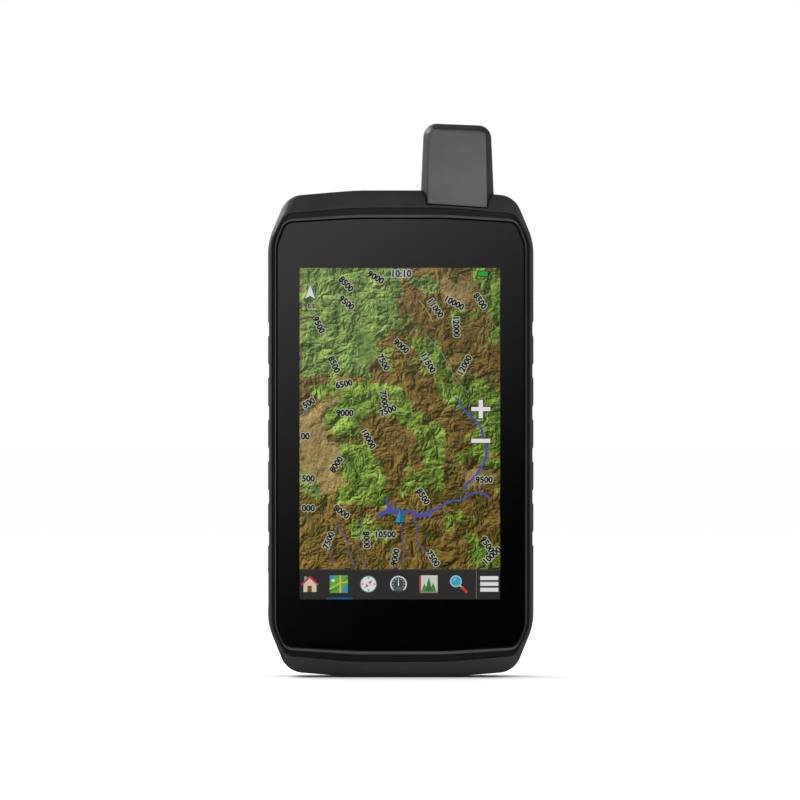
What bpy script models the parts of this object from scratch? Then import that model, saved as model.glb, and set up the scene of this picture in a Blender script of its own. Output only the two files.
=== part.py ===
"""Handheld GPS unit: an upright case with a large touch display and a quad-helix antenna stub.

The unit stands on its foot with the display facing -Y, the antenna up (+Z) and the power
button on +X.  The origin is the centre of the foot.  Lengths in this file are millimetres;
they become metres when a mesh is made.
"""

import math

import bmesh
import bpy
from mathutils import Matrix, Vector

MM = 0.001
GAP = 0.3

# ---------------------------------------------------------------- driving dimensions
HALF_WIDTH = 44.0
HALF_DEPTH = 16.35
CASE_TOP = 161.4
ANTENNA_TOP = 183.6

# Depths (Y) of the case, front to back.
FRONT_Y = -HALF_DEPTH
GLASS_FRONT_Y = -16.05
GLASS_BACK_Y = -14.85
LEDGE_FRONT_Y = -13.85
LEDGE_BACK_Y = -13.0
RIM_Y = -14.9
SEAT_Y = -12.0
SHOULDER_Y = -9.5
HEEL_Y = 6.5
BACK_Y = 12.8
SPINE_Y = HALF_DEPTH

# Depths of what the case holds.
DISPLAY_Y = (-13.6, -11.4)
FRAME_Y = (-11.1, -10.1)
BOARD_Y = (-4.0, -3.0)
BOARD_HALF_WIDTH = 37.6  # leaves room for the power key to travel inwards
BAY_WALL_Y = (-1.2, 0.4)
BATTERY_Y = (0.7, 10.7)
COVER_SEAT_Y = 9.6
COVER_Y = (11.0, BACK_Y)
UPPER_CAVITY_Y = 10.8

# Display, battery and cover.
DISPLAY_HALF_WIDTH = 33.9
DISPLAY_Z = (19.0, 143.0)
BATTERY_HALF_WIDTH = 26.3
BATTERY_Z = (25.5, 92.0)
BAY_Z = (25.0, 95.2)
COVER_HALF_WIDTH = 31.0
COVER_Z = (7.2, 104.0)

# Places where things fasten, as (x, z).
CASE_SCREWS = [(35.2, 15.2), (37.0, 82.0), (35.2, 146.0)]
BOARD_SCREWS = [(-28.0, 32.0), (28.0, 32.0), (-28.0, 139.0), (28.0, 139.0)]
LATCH_Z = 15.5
RING_Y = 14.4
RING_WIRE = 0.9

# Sides: grips, power button and the two covered ports.
GRIP_Z = (38.5, 122.5)
GRIP_Y = (-10.6, 9.3)
GRIP_INNER_X = 42.6
GROOVE_FIRST_Z = 46.0
GROOVE_PITCH = 13.88
GROOVE_COUNT = 6
SIDE_FITTING_Z = 131.0
BUTTON_Y = -5.6
USB_PORT = (-5.75, SIDE_FITTING_Z)
ANTENNA_PORT = (-6.8, 29.0)

# Back of the case.
SPINE_HALF_WIDTH = 12.5
SPINE_Z = (110.0, 150.0)
SPEAKER = (-22.0, 132.0)
VENT = (24.0, 132.0)
CARD_X = (7.0, 18.0)
CARD_Z = (42.5, 57.5)

ANTENNA_AXIS = (18.8, -2.5)

FINISHES = {
    "case_plastic": ((0.030, 0.030, 0.031), 0.62, 0.0),
    "bezel_plastic": ((0.014, 0.014, 0.015), 0.45, 0.0),
    "grip_rubber": ((0.024, 0.024, 0.025), 0.80, 0.0),
    "antenna_grey": ((0.110, 0.111, 0.113), 0.55, 0.0),
    "cap_rubber": ((0.020, 0.020, 0.021), 0.78, 0.0),
    "glass": ((0.020, 0.021, 0.022), 0.05, 0.0),
    "sensor_film": ((0.050, 0.052, 0.055), 0.20, 0.0),
    "display": ((0.180, 0.210, 0.090), 0.30, 0.0),
    "foam": ((0.012, 0.012, 0.012), 0.90, 0.0),
    "silicone": ((0.250, 0.060, 0.030), 0.60, 0.0),
    "magnesium": ((0.420, 0.430, 0.440), 0.45, 0.9),
    "board_green": ((0.015, 0.090, 0.040), 0.40, 0.0),
    "polyimide": ((0.450, 0.200, 0.040), 0.40, 0.0),
    "tin_plate": ((0.620, 0.620, 0.600), 0.35, 1.0),
    "steel": ((0.500, 0.500, 0.510), 0.30, 1.0),
    "gold": ((0.780, 0.560, 0.220), 0.25, 1.0),
    "ceramic": ((0.700, 0.680, 0.620), 0.50, 0.0),
    "black_insulator": ((0.018, 0.018, 0.018), 0.50, 0.0),
    "battery_wrap": ((0.045, 0.047, 0.052), 0.48, 0.0),
    "copper_braid": ((0.550, 0.300, 0.150), 0.40, 0.8),
}


# ---------------------------------------------------------------- helpers
def clear_scene():
    for old in list(bpy.data.objects):
        bpy.data.objects.remove(old, do_unlink=True)


def finish(obj, name):
    """Give an object the Principled BSDF material of that name."""
    surface = bpy.data.materials.get(name)
    if surface is None:
        colour, roughness, metallic = FINISHES[name]
        surface = bpy.data.materials.new(name)
        surface.use_nodes = True
        shader = surface.node_tree.nodes["Principled BSDF"]
        shader.inputs["Base Color"].default_value = (*colour, 1.0)
        shader.inputs["Roughness"].default_value = roughness
        shader.inputs["Metallic"].default_value = metallic
        surface.diffuse_color = (*colour, 1.0)
    obj.data.materials.append(surface)
    return obj


def mesh_object(name, points, faces):
    """A mesh object from millimetre points, with its faces turned outwards."""
    mesh = bpy.data.meshes.new(name)
    mesh.from_pydata([Vector(point) * MM for point in points], [], faces)
    shape = bmesh.new()
    shape.from_mesh(mesh)
    bmesh.ops.recalc_face_normals(shape, faces=shape.faces)
    shape.to_mesh(mesh)
    shape.free()
    mesh.shade_smooth()
    mesh.set_sharp_from_angle(angle=math.radians(35.0))
    obj = bpy.data.objects.new(name, mesh)
    bpy.context.scene.collection.objects.link(obj)
    return obj


def place(axis, height, u, v):
    """The point at height along an axis, with u and v along the other two in X, Y, Z order."""
    if axis == "X":
        return (height, u, v)
    if axis == "Y":
        return (u, height, v)
    return (u, v, height)


def rounded(corners):
    """A closed outline from (u, v, radius, steps) corners, each turned by a tangent arc."""
    outline = []
    count = len(corners)
    for index, (u, v, radius, steps) in enumerate(corners):
        corner = Vector((u, v))
        if steps == 0:
            outline.append((u, v))
            continue
        before = (Vector(corners[index - 1][:2]) - corner).normalized()
        after = (Vector(corners[(index + 1) % count][:2]) - corner).normalized()
        half = 0.5 * before.angle(after)
        centre = corner + (before + after).normalized() * (radius / math.sin(half))
        start = corner + before * (radius / math.tan(half)) - centre
        sweep = math.pi - 2.0 * half
        turn = 1.0 if before.x * after.y - before.y * after.x < 0.0 else -1.0
        for step in range(steps + 1):
            angle = turn * sweep * step / steps
            spoke = Matrix.Rotation(angle, 2) @ start
            outline.append((centre.x + spoke.x, centre.y + spoke.y))
    return outline


def rectangle(low_u, high_u, low_v, high_v, radius=0.0, steps=0):
    """A rectangle with round corners."""
    return rounded([
        (low_u, low_v, radius, steps),
        (high_u, low_v, radius, steps),
        (high_u, high_v, radius, steps),
        (low_u, high_v, radius, steps),
    ])


def circle(centre_u, centre_v, radius, steps=20):
    outline = []
    for step in range(steps):
        angle = 2.0 * math.pi * step / steps
        outline.append((centre_u + radius * math.cos(angle), centre_v + radius * math.sin(angle)))
    return outline


def loft(name, axis, sections):
    """A closed solid through (height, outline) sections along an axis."""
    size = len(sections[0][1])
    points = [place(axis, height, u, v) for height, outline in sections for u, v in outline]
    faces = []
    for level in range(len(sections) - 1):
        for step in range(size):
            low = level * size + step
            low_next = level * size + (step + 1) % size
            faces.append((low, low_next, low_next + size, low + size))
    last = (len(sections) - 1) * size
    faces.append(tuple(range(size)))
    faces.append(tuple(range(last, last + size)))
    return mesh_object(name, points, faces)


def ring_loft(name, axis, sections):
    """A closed ring whose cross-section runs through (height, outline) sections and back."""
    size = len(sections[0][1])
    count = len(sections)
    points = [place(axis, height, u, v) for height, outline in sections for u, v in outline]
    faces = []
    for level in range(count):
        following = (level + 1) % count
        for step in range(size):
            aside = (step + 1) % size
            faces.append((
                level * size + step,
                level * size + aside,
                following * size + aside,
                following * size + step,
            ))
    return mesh_object(name, points, faces)


def flat_ring(name, axis, span, outer, inner):
    """A flat ring between two outlines."""
    low, high = span
    return ring_loft(name, axis, [(low, outer), (high, outer), (high, inner), (low, inner)])


def prism(name, axis, span, outline):
    return loft(name, axis, [(span[0], outline), (span[1], outline)])


def soft_prism(name, axis, span, low_uv, high_uv, radius, edge):
    """A rectangular block with round corners and a chamfer of edge round both ends."""
    wide = rectangle(low_uv[0], high_uv[0], low_uv[1], high_uv[1], radius, 3)
    narrow = rectangle(
        low_uv[0] + edge, high_uv[0] - edge, low_uv[1] + edge, high_uv[1] - edge, radius - edge, 3
    )
    return loft(name, axis, [
        (span[0], narrow),
        (span[0] + edge, wide),
        (span[1] - edge, wide),
        (span[1], narrow),
    ])


def turned(name, axis, centre, profile, steps=20):
    """A turned solid from (height, radius) pairs along an axis through centre (u, v)."""
    return loft(name, axis, [(height, circle(*centre, radius, steps)) for height, radius in profile])


def swept(name, path, radius, closed, sides=8):
    """A round wire along a path of (x, y, z) points."""
    count = len(path)
    points = []
    for index, point in enumerate(path):
        if closed:
            ahead = Vector(path[(index + 1) % count]) - Vector(path[index - 1])
        else:
            ahead = Vector(path[min(index + 1, count - 1)]) - Vector(path[max(index - 1, 0)])
        ahead.normalize()
        across = ahead.orthogonal() if abs(ahead.y) > 0.9 else ahead.cross(Vector((0.0, 1.0, 0.0)))
        across.normalize()
        upward = across.cross(ahead)
        for side in range(sides):
            angle = 2.0 * math.pi * side / sides
            offset = across * math.cos(angle) + upward * math.sin(angle)
            points.append(tuple(Vector(point) + offset * radius))
    faces = []
    for index in range(count if closed else count - 1):
        following = (index + 1) % count
        for side in range(sides):
            aside = (side + 1) % sides
            faces.append((
                index * sides + side,
                index * sides + aside,
                following * sides + aside,
                following * sides + side,
            ))
    if not closed:
        faces.append(tuple(range(sides)))
        faces.append(tuple(range((count - 1) * sides, count * sides)))
    return mesh_object(name, points, faces)


def join(name, pieces):
    """One mesh from several that don't touch, used for rows of cutters."""
    shape = bmesh.new()
    for piece in pieces:
        shape.from_mesh(piece.data)
        bpy.data.objects.remove(piece, do_unlink=True)
    mesh = bpy.data.meshes.new(name)
    shape.to_mesh(mesh)
    shape.free()
    obj = bpy.data.objects.new(name, mesh)
    bpy.context.scene.collection.objects.link(obj)
    return obj


def combine(target, tool, operation="DIFFERENCE"):
    """Cut, add or intersect with a hidden tool object."""
    tool.hide_render = True
    tool.display_type = "WIRE"
    step = target.modifiers.new(tool.name, "BOOLEAN")
    step.operation = operation
    step.solver = "EXACT"
    step.object = tool


def set_origin(obj, x, y, z):
    """Move an object's origin onto its joint, leaving its shape where it is."""
    pivot = Vector((x, y, z)) * MM
    obj.data.transform(Matrix.Translation(-pivot))
    obj.location = pivot


def both_sides(places):
    """The same (x, z) places on the right and, mirrored, on the left."""
    return [(side * x, z) for x, z in places for side in (1.0, -1.0)]


# ---------------------------------------------------------------- outlines of the front view
def case_outline(half_width, bottom, top, low_rise, high_drop, taper, sag, corner_radius, bend=12.0):
    """The case's outline in X and Z: straight sides, cut corners, a flat foot and a low crown."""
    right = [
        (15.0, bottom, 110.0, 2),
        (half_width - taper, bottom + sag, corner_radius, 4),
        (half_width, bottom + low_rise, bend, 2),
        (half_width, top - high_drop, bend, 2),
        (half_width - taper, top - sag, corner_radius, 4),
        (15.0, top, 110.0, 2),
    ]
    left = [(-x, z, radius, steps) for x, z, radius, steps in reversed(right)]
    return rounded(right + left)


def silhouette():
    return case_outline(HALF_WIDTH, 0.0, CASE_TOP, 17.3, 16.9, 6.3, 1.9, 7.8, 20.0)


def rim_outline():
    return case_outline(43.1, 4.7, 156.8, 12.3, 11.5, 4.8, 2.0, 4.3)


def bezel_outline(grow=0.0):
    return case_outline(42.4 + grow, 5.4 - grow, 156.1 + grow, 11.9, 11.1, 4.6, 2.0, 4.2)


def glass_outline(grow=0.0):
    return case_outline(40.9 + grow, 9.15 - grow, 151.9 + grow, 8.0, 8.8, 2.9, 1.35, 3.5 + grow)


def window_outline(grow=0.0):
    return case_outline(34.6 + grow, 17.4 - grow, 144.6 + grow, 3.2, 3.2, 0.5, 0.6, 0.8)


def cavity_outline(shrink=0.0):
    return case_outline(40.0 - shrink, 8.9 + shrink, 152.5 - shrink, 9.1, 9.5, 3.7, 1.6, 3.5)


def back_outline():
    return case_outline(37.6, 5.6, 155.8, 13.0, 12.0, 4.5, 1.9, 4.0)


def blend(first, second, amount):
    """The outline part of the way from one outline to another."""
    return [
        (u + (u2 - u) * amount, v + (v2 - v) * amount)
        for (u, v), (u2, v2) in zip(first, second)
    ]


# ---------------------------------------------------------------- front of the unit
def make_bezel():
    seat = glass_outline(0.35)
    window = window_outline()
    outer = bezel_outline()
    bezel = ring_loft("front_bezel", "Y", [
        (LEDGE_FRONT_Y, window),
        (LEDGE_FRONT_Y, seat),
        (-15.95, seat),
        (FRONT_Y, blend(seat, outer, 0.14)),
        (-16.2, blend(seat, outer, 0.26)),
        (-15.7, blend(seat, outer, 0.36)),
        (-15.2, blend(seat, outer, 0.94)),
        (-14.9, outer),
        (LEDGE_BACK_Y, outer),
        (LEDGE_BACK_Y, window),
    ])
    for number, (x, z) in enumerate(both_sides(CASE_SCREWS), 1):
        boss = turned(f"add_boss_{number}", "Y", (x, z), [(-13.4, 2.3), (-1.6, 2.3)], 12)
        combine(bezel, boss, "UNION")
    for number, (x, z) in enumerate(both_sides(CASE_SCREWS), 1):
        hole = turned(f"cut_boss_{number}", "Y", (x, z), [(-8.5, 1.3), (0.0, 1.3)], 10)
        combine(bezel, hole)
    return finish(bezel, "bezel_plastic")


def make_glass():
    glass = loft("cover_glass", "Y", [
        (GLASS_FRONT_Y, glass_outline(-0.35)),
        (GLASS_FRONT_Y + 0.3, glass_outline()),
        (GLASS_BACK_Y, glass_outline()),
    ])
    finish(glass, "glass")
    seal = flat_ring(
        "glass_seal",
        "Y",
        (GLASS_BACK_Y + GAP, LEDGE_FRONT_Y - GAP),
        glass_outline(-0.7),
        window_outline(0.5),
    )
    finish(seal, "foam")


def make_display():
    touch = prism(
        "touch_panel",
        "Y",
        (GLASS_BACK_Y + GAP, DISPLAY_Y[0] - GAP),
        rectangle(-DISPLAY_HALF_WIDTH, DISPLAY_HALF_WIDTH, *DISPLAY_Z, 1.5, 2),
    )
    finish(touch, "sensor_film")
    module = soft_prism(
        "display_module",
        "Y",
        DISPLAY_Y,
        (-DISPLAY_HALF_WIDTH, DISPLAY_Z[0]),
        (DISPLAY_HALF_WIDTH, DISPLAY_Z[1]),
        1.5,
        0.2,
    )
    finish(module, "display")
    ribbon = prism("display_flex", "X", (-11.0, 11.0), [
        (-12.6, 18.7),
        (-12.6, 16.6),
        (-8.6, 13.4),
        (-5.0, 16.8),
        (-5.0, 27.0),
        (-5.4, 27.0),
        (-5.4, 17.0),
        (-8.6, 13.9),
        (-12.2, 16.8),
        (-12.2, 18.7),
    ])
    finish(ribbon, "polyimide")


def make_case_seal():
    seal = flat_ring(
        "case_seal",
        "Y",
        (LEDGE_BACK_Y + GAP, SEAT_Y - GAP),
        bezel_outline(-0.5),
        cavity_outline(-0.7),
    )
    finish(seal, "silicone")


# ---------------------------------------------------------------- inside the case
def make_display_frame():
    frame = prism("display_frame", "Y", FRAME_Y, cavity_outline(0.9))
    for number, (x, z) in enumerate(BOARD_SCREWS, 1):
        profile = [(FRAME_Y[1] - 0.4, 2.2), (BOARD_Y[0] - GAP, 2.2)]
        combine(frame, turned(f"add_post_{number}", "Y", (x, z), profile, 12), "UNION")
        hole = turned(f"cut_post_{number}", "Y", (x, z), [(-9.6, 1.1), (-3.0, 1.1)], 10)
        combine(frame, hole)
    for number, (x, z) in enumerate(both_sides(CASE_SCREWS), 1):
        notch = turned(f"cut_frame_notch_{number}", "Y", (x, z), [(-14.0, 2.9), (-8.0, 2.9)], 12)
        combine(frame, notch)
    notch = prism("cut_flex_notch", "Y", (-14.0, -8.0), rectangle(-12.5, 12.5, 5.0, 21.0, 1.0, 2))
    combine(frame, notch)
    finish(frame, "magnesium")


def make_main_board():
    board = prism("main_board", "Y", BOARD_Y, rectangle(-BOARD_HALF_WIDTH, BOARD_HALF_WIDTH, 22.0, 142.0, 3.0, 3))
    for number, (x, z) in enumerate(both_sides(CASE_SCREWS[1:]), 1):
        notch = turned(f"cut_board_notch_{number}", "Y", (x, z), [(-6.0, 2.9), (0.0, 2.9)], 12)
        combine(board, notch)
    holes = [
        turned(f"cut_board_hole_{number}", "Y", spot, [(-6.0, 1.1), (0.0, 1.1)], 12)
        for number, spot in enumerate(BOARD_SCREWS, 1)
    ]
    combine(board, join("cut_board_holes", holes))
    finish(board, "board_green")


def make_shields():
    front = BOARD_Y[0] - GAP
    for name, low, high in (
        ("processor_shield", (-24.0, 58.0), (6.0, 92.0)),
        ("receiver_shield", (8.0, 108.0), (30.0, 131.0)),
    ):
        can = soft_prism(name, "Y", (front - 2.2, front), low, high, 1.2, 0.4)
        finish(can, "tin_plate")


def make_board_screws():
    for number, spot in enumerate(BOARD_SCREWS, 1):
        screw = turned(f"board_screw_{number}", "Y", spot, [
            (-8.6, 0.8),
            (-2.7, 0.8),
            (-2.7, 1.7),
            (-1.7, 1.7),
        ], 10)
        finish(screw, "steel")


def make_speaker():
    speaker = turned("speaker", "Y", SPEAKER, [(4.5, 6.5), (6.0, 6.5), (6.0, 9.0), (9.5, 9.0)], 24)
    finish(speaker, "black_insulator")
    mesh = turned("speaker_mesh", "Y", SPEAKER, [(9.8, 8.4), (10.3, 8.4)], 24)
    finish(mesh, "steel")


def make_card():
    low_x, high_x = CARD_X
    low_z, high_z = CARD_Z
    mouth_z = high_z - 3.5
    shell = rectangle(low_x - 1.5, high_x + 1.5, -2.7, -0.9)
    slot = rectangle(low_x - GAP, high_x + GAP, -2.45, -1.15)
    socket = loft("card_socket", "Z", [
        (low_z - 2.0, shell),
        (mouth_z, shell),
        (mouth_z, slot),
        (low_z - GAP, slot),
    ])
    finish(socket, "tin_plate")
    card = prism("memory_card", "Y", (-2.15, -1.45), rounded([
        (low_x, low_z, 0.8, 2),
        (high_x, low_z, 0.8, 2),
        (high_x, high_z - 2.5, 0.6, 2),
        (high_x - 1.2, high_z, 0.6, 2),
        (low_x, high_z, 0.8, 2),
    ]))
    set_origin(card, 0.5 * (low_x + high_x), -1.8, high_z)
    finish(card, "black_insulator")


# ---------------------------------------------------------------- rear housing
def outer_sections():
    """Sections of the case's outer shape: rounded to the rim in front and to the flat behind."""
    full = silhouette()
    steps = (90.0, 70.0, 50.0, 25.0, 0.0)
    sections = []
    for degrees in steps:
        angle = math.radians(degrees)
        depth = SHOULDER_Y + (RIM_Y - SHOULDER_Y) * math.sin(angle)
        sections.append((depth, blend(full, rim_outline(), 1.0 - math.cos(angle))))
    for degrees in reversed(steps):
        angle = math.radians(degrees)
        depth = HEEL_Y + (BACK_Y - HEEL_Y) * math.sin(angle)
        sections.append((depth, blend(full, back_outline(), 1.0 - math.cos(angle))))
    return sections


def groove_row(name, side):
    """Six shallow grooves across one grip, as one cutter."""
    cutters = []
    for number in range(GROOVE_COUNT):
        z = GROOVE_FIRST_Z + number * GROOVE_PITCH
        cutters.append(prism(f"{name}_{number}", "Y", (-15.5, 10.5), [
            (side * 45.0, z - 4.8),
            (side * 45.0, z + 4.8),
            (side * 43.65, z + 2.1),
            (side * 43.65, z - 2.1),
        ]))
    return join(name, cutters)


def make_grips():
    for name, side in (("left_grip", -1.0), ("right_grip", 1.0)):
        grip = loft(name, "Y", outer_sections())
        near, far = sorted((side * GRIP_INNER_X, side * 50.0))
        block = prism(f"keep_{name}", "X", (near, far), rectangle(*GRIP_Y, *GRIP_Z, 5.0, 4))
        combine(grip, block, "INTERSECT")
        combine(grip, groove_row(f"cut_grooves_{name}", side))
        finish(grip, "grip_rubber")


def cut_front(housing):
    """The seat for the bezel and the space behind the display."""
    combine(housing, prism("cut_bezel_seat", "Y", (-20.0, SEAT_Y), bezel_outline(GAP)))
    combine(housing, prism("cut_front_cavity", "Y", (-13.0, BAY_WALL_Y[0]), cavity_outline()))
    upper = rectangle(-32.0, 32.0, 106.0, 149.5, 3.0, 3)
    combine(housing, prism("cut_upper_cavity", "Y", (-2.0, UPPER_CAVITY_Y), upper))


def cut_back(housing):
    """The battery bay, the cover's seat, the latch bore and the card window."""
    bay = rectangle(-26.8, 26.8, *BAY_Z, 2.0, 3)
    combine(housing, prism("cut_battery_bay", "Y", (BAY_WALL_Y[1], 20.0), bay))
    half = COVER_HALF_WIDTH + GAP
    seat = rectangle(-half, half, COVER_Z[0] - GAP, COVER_Z[1] + GAP, 6.0 + GAP, 5)
    combine(housing, prism("cut_cover_seat", "Y", (COVER_SEAT_Y, 20.0), seat))
    bore = turned("cut_latch_bore", "Y", (0.0, LATCH_Z), [(2.9, 2.7), (12.0, 2.7)], 20)
    combine(housing, bore)
    window = rectangle(CARD_X[0] - 2.0, CARD_X[1] + 2.0, CARD_Z[0] - 2.5, CARD_Z[1] + 8.5, 1.0, 2)
    combine(housing, prism("cut_card_window", "Y", (-3.0, 2.0), window))
    terminals = rectangle(-9.0, 9.0, BAY_Z[1] - 1.0, BAY_Z[1] + 2.4)
    combine(housing, prism("cut_terminal_pocket", "Y", (1.4, 9.0), terminals))


def cut_sides(housing):
    """Grip pockets, their grooves, the two port pockets and the button's hole."""
    pocket = rectangle(GRIP_Y[0] - GAP, GRIP_Y[1] + 1.2, GRIP_Z[0] - GAP, GRIP_Z[1] + GAP, 5.3, 4)
    for name, side in (("left", -1.0), ("right", 1.0)):
        span = sorted((side * (GRIP_INNER_X - GAP), side * 50.0))
        combine(housing, prism(f"cut_{name}_grip_pocket", "X", span, pocket))
        combine(housing, groove_row(f"cut_{name}_grooves", side))
    for name, (y, z), reach in (("usb", USB_PORT, 4.2), ("antenna_port", ANTENNA_PORT, 3.0)):
        mouth = rectangle(y - 3.6, y + 3.6, z - 6.6, z + 6.6, 2.4, 4)
        neck = rectangle(y - 2.9, y + 2.9, z - 5.6, z + 5.6, 2.0, 4)
        throat = rectangle(y - 2.2, y + 2.2, z - reach, z + reach, 1.0, 4)
        hole = loft(f"cut_{name}", "X", [
            (-50.0, mouth),
            (-42.6, mouth),
            (-42.6, neck),
            (-41.4, neck),
            (-41.4, throat),
            (-38.0, throat),
        ])
        combine(housing, hole)
    hole = loft("cut_button", "X", [
        (38.0, rectangle(BUTTON_Y - 4.4, BUTTON_Y + 4.4, 122.8, 139.2, 2.8, 4)),
        (42.0, rectangle(BUTTON_Y - 4.4, BUTTON_Y + 4.4, 122.8, 139.2, 2.8, 4)),
        (42.0, rectangle(BUTTON_Y - 3.3, BUTTON_Y + 3.3, 123.7, 138.3, 2.9, 4)),
        (50.0, rectangle(BUTTON_Y - 3.3, BUTTON_Y + 3.3, 123.7, 138.3, 2.9, 4)),
    ])
    combine(housing, hole)


def cut_screw_holes(housing):
    profile = [(-3.0, 1.3), (10.6, 1.3), (10.6, 2.4), (20.0, 2.4)]
    holes = [
        turned(f"cut_screw_{number}", "Y", spot, profile, 12)
        for number, spot in enumerate(both_sides(CASE_SCREWS), 1)
    ]
    combine(housing, join("cut_screws", holes))


def cut_small_openings(housing):
    """Speaker slots, the vent, and the lead's hole up into the antenna."""
    slots = [
        prism(f"cut_slot_{number}", "Y", (9.0, 20.0), rectangle(
            SPEAKER[0] - 5.0, SPEAKER[0] + 5.0, SPEAKER[1] + rise - 0.6, SPEAKER[1] + rise + 0.6, 0.5, 2
        ))
        for number, rise in enumerate((-3.0, 0.0, 3.0), 1)
    ]
    combine(housing, join("cut_speaker_slots", slots))
    vent = turned("cut_vent", "Y", VENT, [(9.0, 1.2), (11.6, 1.2), (11.6, 3.0), (20.0, 3.0)], 20)
    combine(housing, vent)
    combine(housing, turned("cut_lead_hole", "Z", ANTENNA_AXIS, [(150.0, 1.2), (160.0, 1.2)], 16))


def add_spine(housing):
    """The raised mounting spine, undercut down both sides, with a catch and a contact pocket."""
    low_z, high_z = SPINE_Z
    rail = loft("add_spine", "Y", [
        (BACK_Y - 1.0, rectangle(-SPINE_HALF_WIDTH, SPINE_HALF_WIDTH, low_z, high_z, 3.0, 4)),
        (SPINE_Y - 0.6, rectangle(-SPINE_HALF_WIDTH, SPINE_HALF_WIDTH, low_z, high_z, 3.0, 4)),
        (SPINE_Y, rectangle(-SPINE_HALF_WIDTH + 0.6, SPINE_HALF_WIDTH - 0.6, low_z + 0.6, high_z - 0.6, 2.4, 4)),
    ])
    combine(housing, rail, "UNION")
    undercuts = [
        prism(f"cut_undercut_{number}", "Z", (low_z - 2.0, high_z + 2.0), rectangle(
            *sorted((side * 11.0, side * 14.0)), BACK_Y + 0.4, BACK_Y + 1.9
        ))
        for number, side in enumerate((-1.0, 1.0), 1)
    ]
    combine(housing, join("cut_undercuts", undercuts))
    catch = rectangle(-3.5, 3.5, high_z - 5.5, high_z - 2.5, 0.8, 3)
    combine(housing, prism("cut_catch", "Y", (SPINE_Y - 1.6, 20.0), catch))
    pocket = rectangle(-8.7, 8.7, 114.0, 119.6, 1.0, 3)
    combine(housing, prism("cut_contact_pocket", "Y", (14.6, 20.0), pocket))


def make_housing():
    housing = loft("rear_housing", "Y", outer_sections())
    add_spine(housing)
    cut_front(housing)
    cut_back(housing)
    cut_sides(housing)
    cut_screw_holes(housing)
    cut_small_openings(housing)
    combine(housing, loft("cut_antenna_notch", "Y", antenna_sections(GAP)))
    finish(housing, "case_plastic")


def make_case_screws():
    for number, spot in enumerate(both_sides(CASE_SCREWS), 1):
        screw = turned(f"case_screw_{number}", "Y", spot, [
            (-7.6, 0.6),
            (-7.0, 1.0),
            (10.9, 1.0),
            (10.9, 2.0),
            (12.0, 2.0),
            (12.4, 1.5),
            (12.4, 0.8),
            (11.4, 0.8),
        ], 10)
        finish(screw, "steel")


def make_vent():
    vent = turned("pressure_vent", "Y", VENT, [(11.9, 2.7), (12.3, 2.7), (12.5, 2.4)], 20)
    finish(vent, "foam")


def make_mount_contacts():
    block = soft_prism("contact_block", "Y", (14.9, 15.7), (-8.4, 114.3), (8.4, 119.3), 0.8, 0.15)
    finish(block, "black_insulator")
    for number in range(4):
        x = -6.0 + 4.0 * number
        pad = soft_prism(
            f"contact_pad_{number + 1}", "Y", (16.0, 16.3), (x - 1.3, 115.0), (x + 1.3, 118.6), 0.5, 0.1
        )
        finish(pad, "gold")


# ---------------------------------------------------------------- antenna
def antenna_outline(inset, grow=0.0):
    """The antenna's front view: sides that lean in, and a top that falls towards the right."""
    shift = inset - grow
    return rounded([
        (6.5 + shift, 156.65 - grow, 0.0, 0),
        (31.1 - shift, 155.2 - grow, 0.0, 0),
        (29.9 - shift, ANTENNA_TOP - 0.7 - shift, 4.4 - 0.6 * shift, 6),
        (7.7 + shift, ANTENNA_TOP + 0.2 - shift, 4.4 - 0.6 * shift, 6),
    ])


def antenna_sections(grow=0.0):
    """Sections from the narrow front to the full width and round to the back."""
    return [
        (-13.2 - 9.0 * grow, antenna_outline(2.3, grow)),
        (-13.2 - grow, antenna_outline(2.3, grow)),
        (-11.0, antenna_outline(1.1, grow)),
        (-8.0, antenna_outline(0.3, grow)),
        (-5.5, antenna_outline(0.0, grow)),
        (3.5, antenna_outline(0.0, grow)),
        (6.0, antenna_outline(0.7, grow)),
        (7.6 + grow, antenna_outline(2.4, grow)),
    ]


def make_antenna():
    shell = loft("antenna_housing", "Y", antenna_sections()[1:])
    hollow = loft("cut_antenna_hollow", "Y", [
        (-11.6, rectangle(11.6, 26.0, 150.0, 178.8, 3.0, 4)),
        (-6.0, rectangle(9.6, 28.0, 150.0, 181.0, 3.0, 4)),
        (4.6, rectangle(9.6, 28.0, 150.0, 181.0, 3.0, 4)),
        (6.0, rectangle(11.0, 26.6, 150.0, 179.6, 3.0, 4)),
    ])
    combine(shell, hollow)
    finish(shell, "case_plastic")
    face = loft("antenna_face", "Y", [
        (-14.75, antenna_outline(2.95)),
        (-14.45, antenna_outline(2.6)),
        (-13.5, antenna_outline(2.6)),
    ])
    finish(face, "antenna_grey")


def make_antenna_element():
    """A ceramic rod whose four raised tracks wind half a turn round it."""
    sections = []
    levels = 10
    for level in range(levels + 1):
        height = 158.6 + (179.6 - 158.6) * level / levels
        twist = math.pi * level / levels
        outline = []
        for step in range(24):
            angle = 2.0 * math.pi * step / 24
            radius = 6.6 if step % 6 == 0 else 6.0
            outline.append((
                ANTENNA_AXIS[0] + radius * math.cos(angle + twist),
                ANTENNA_AXIS[1] + radius * math.sin(angle + twist),
            ))
        sections.append((height, outline))
    finish(loft("antenna_element", "Z", sections), "ceramic")
    x, y = ANTENNA_AXIS
    lead = swept("antenna_lead", [
        (x, y, 158.2),
        (x, y, 152.0),
        (x, y, 148.0),
        (x, y - 0.8, 145.0),
        (x, y - 2.2, 142.6),
        (x, y - 2.9, 140.0),
        (x, y - 2.9, 135.0),
    ], 0.65, False)
    finish(lead, "copper_braid")


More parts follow.
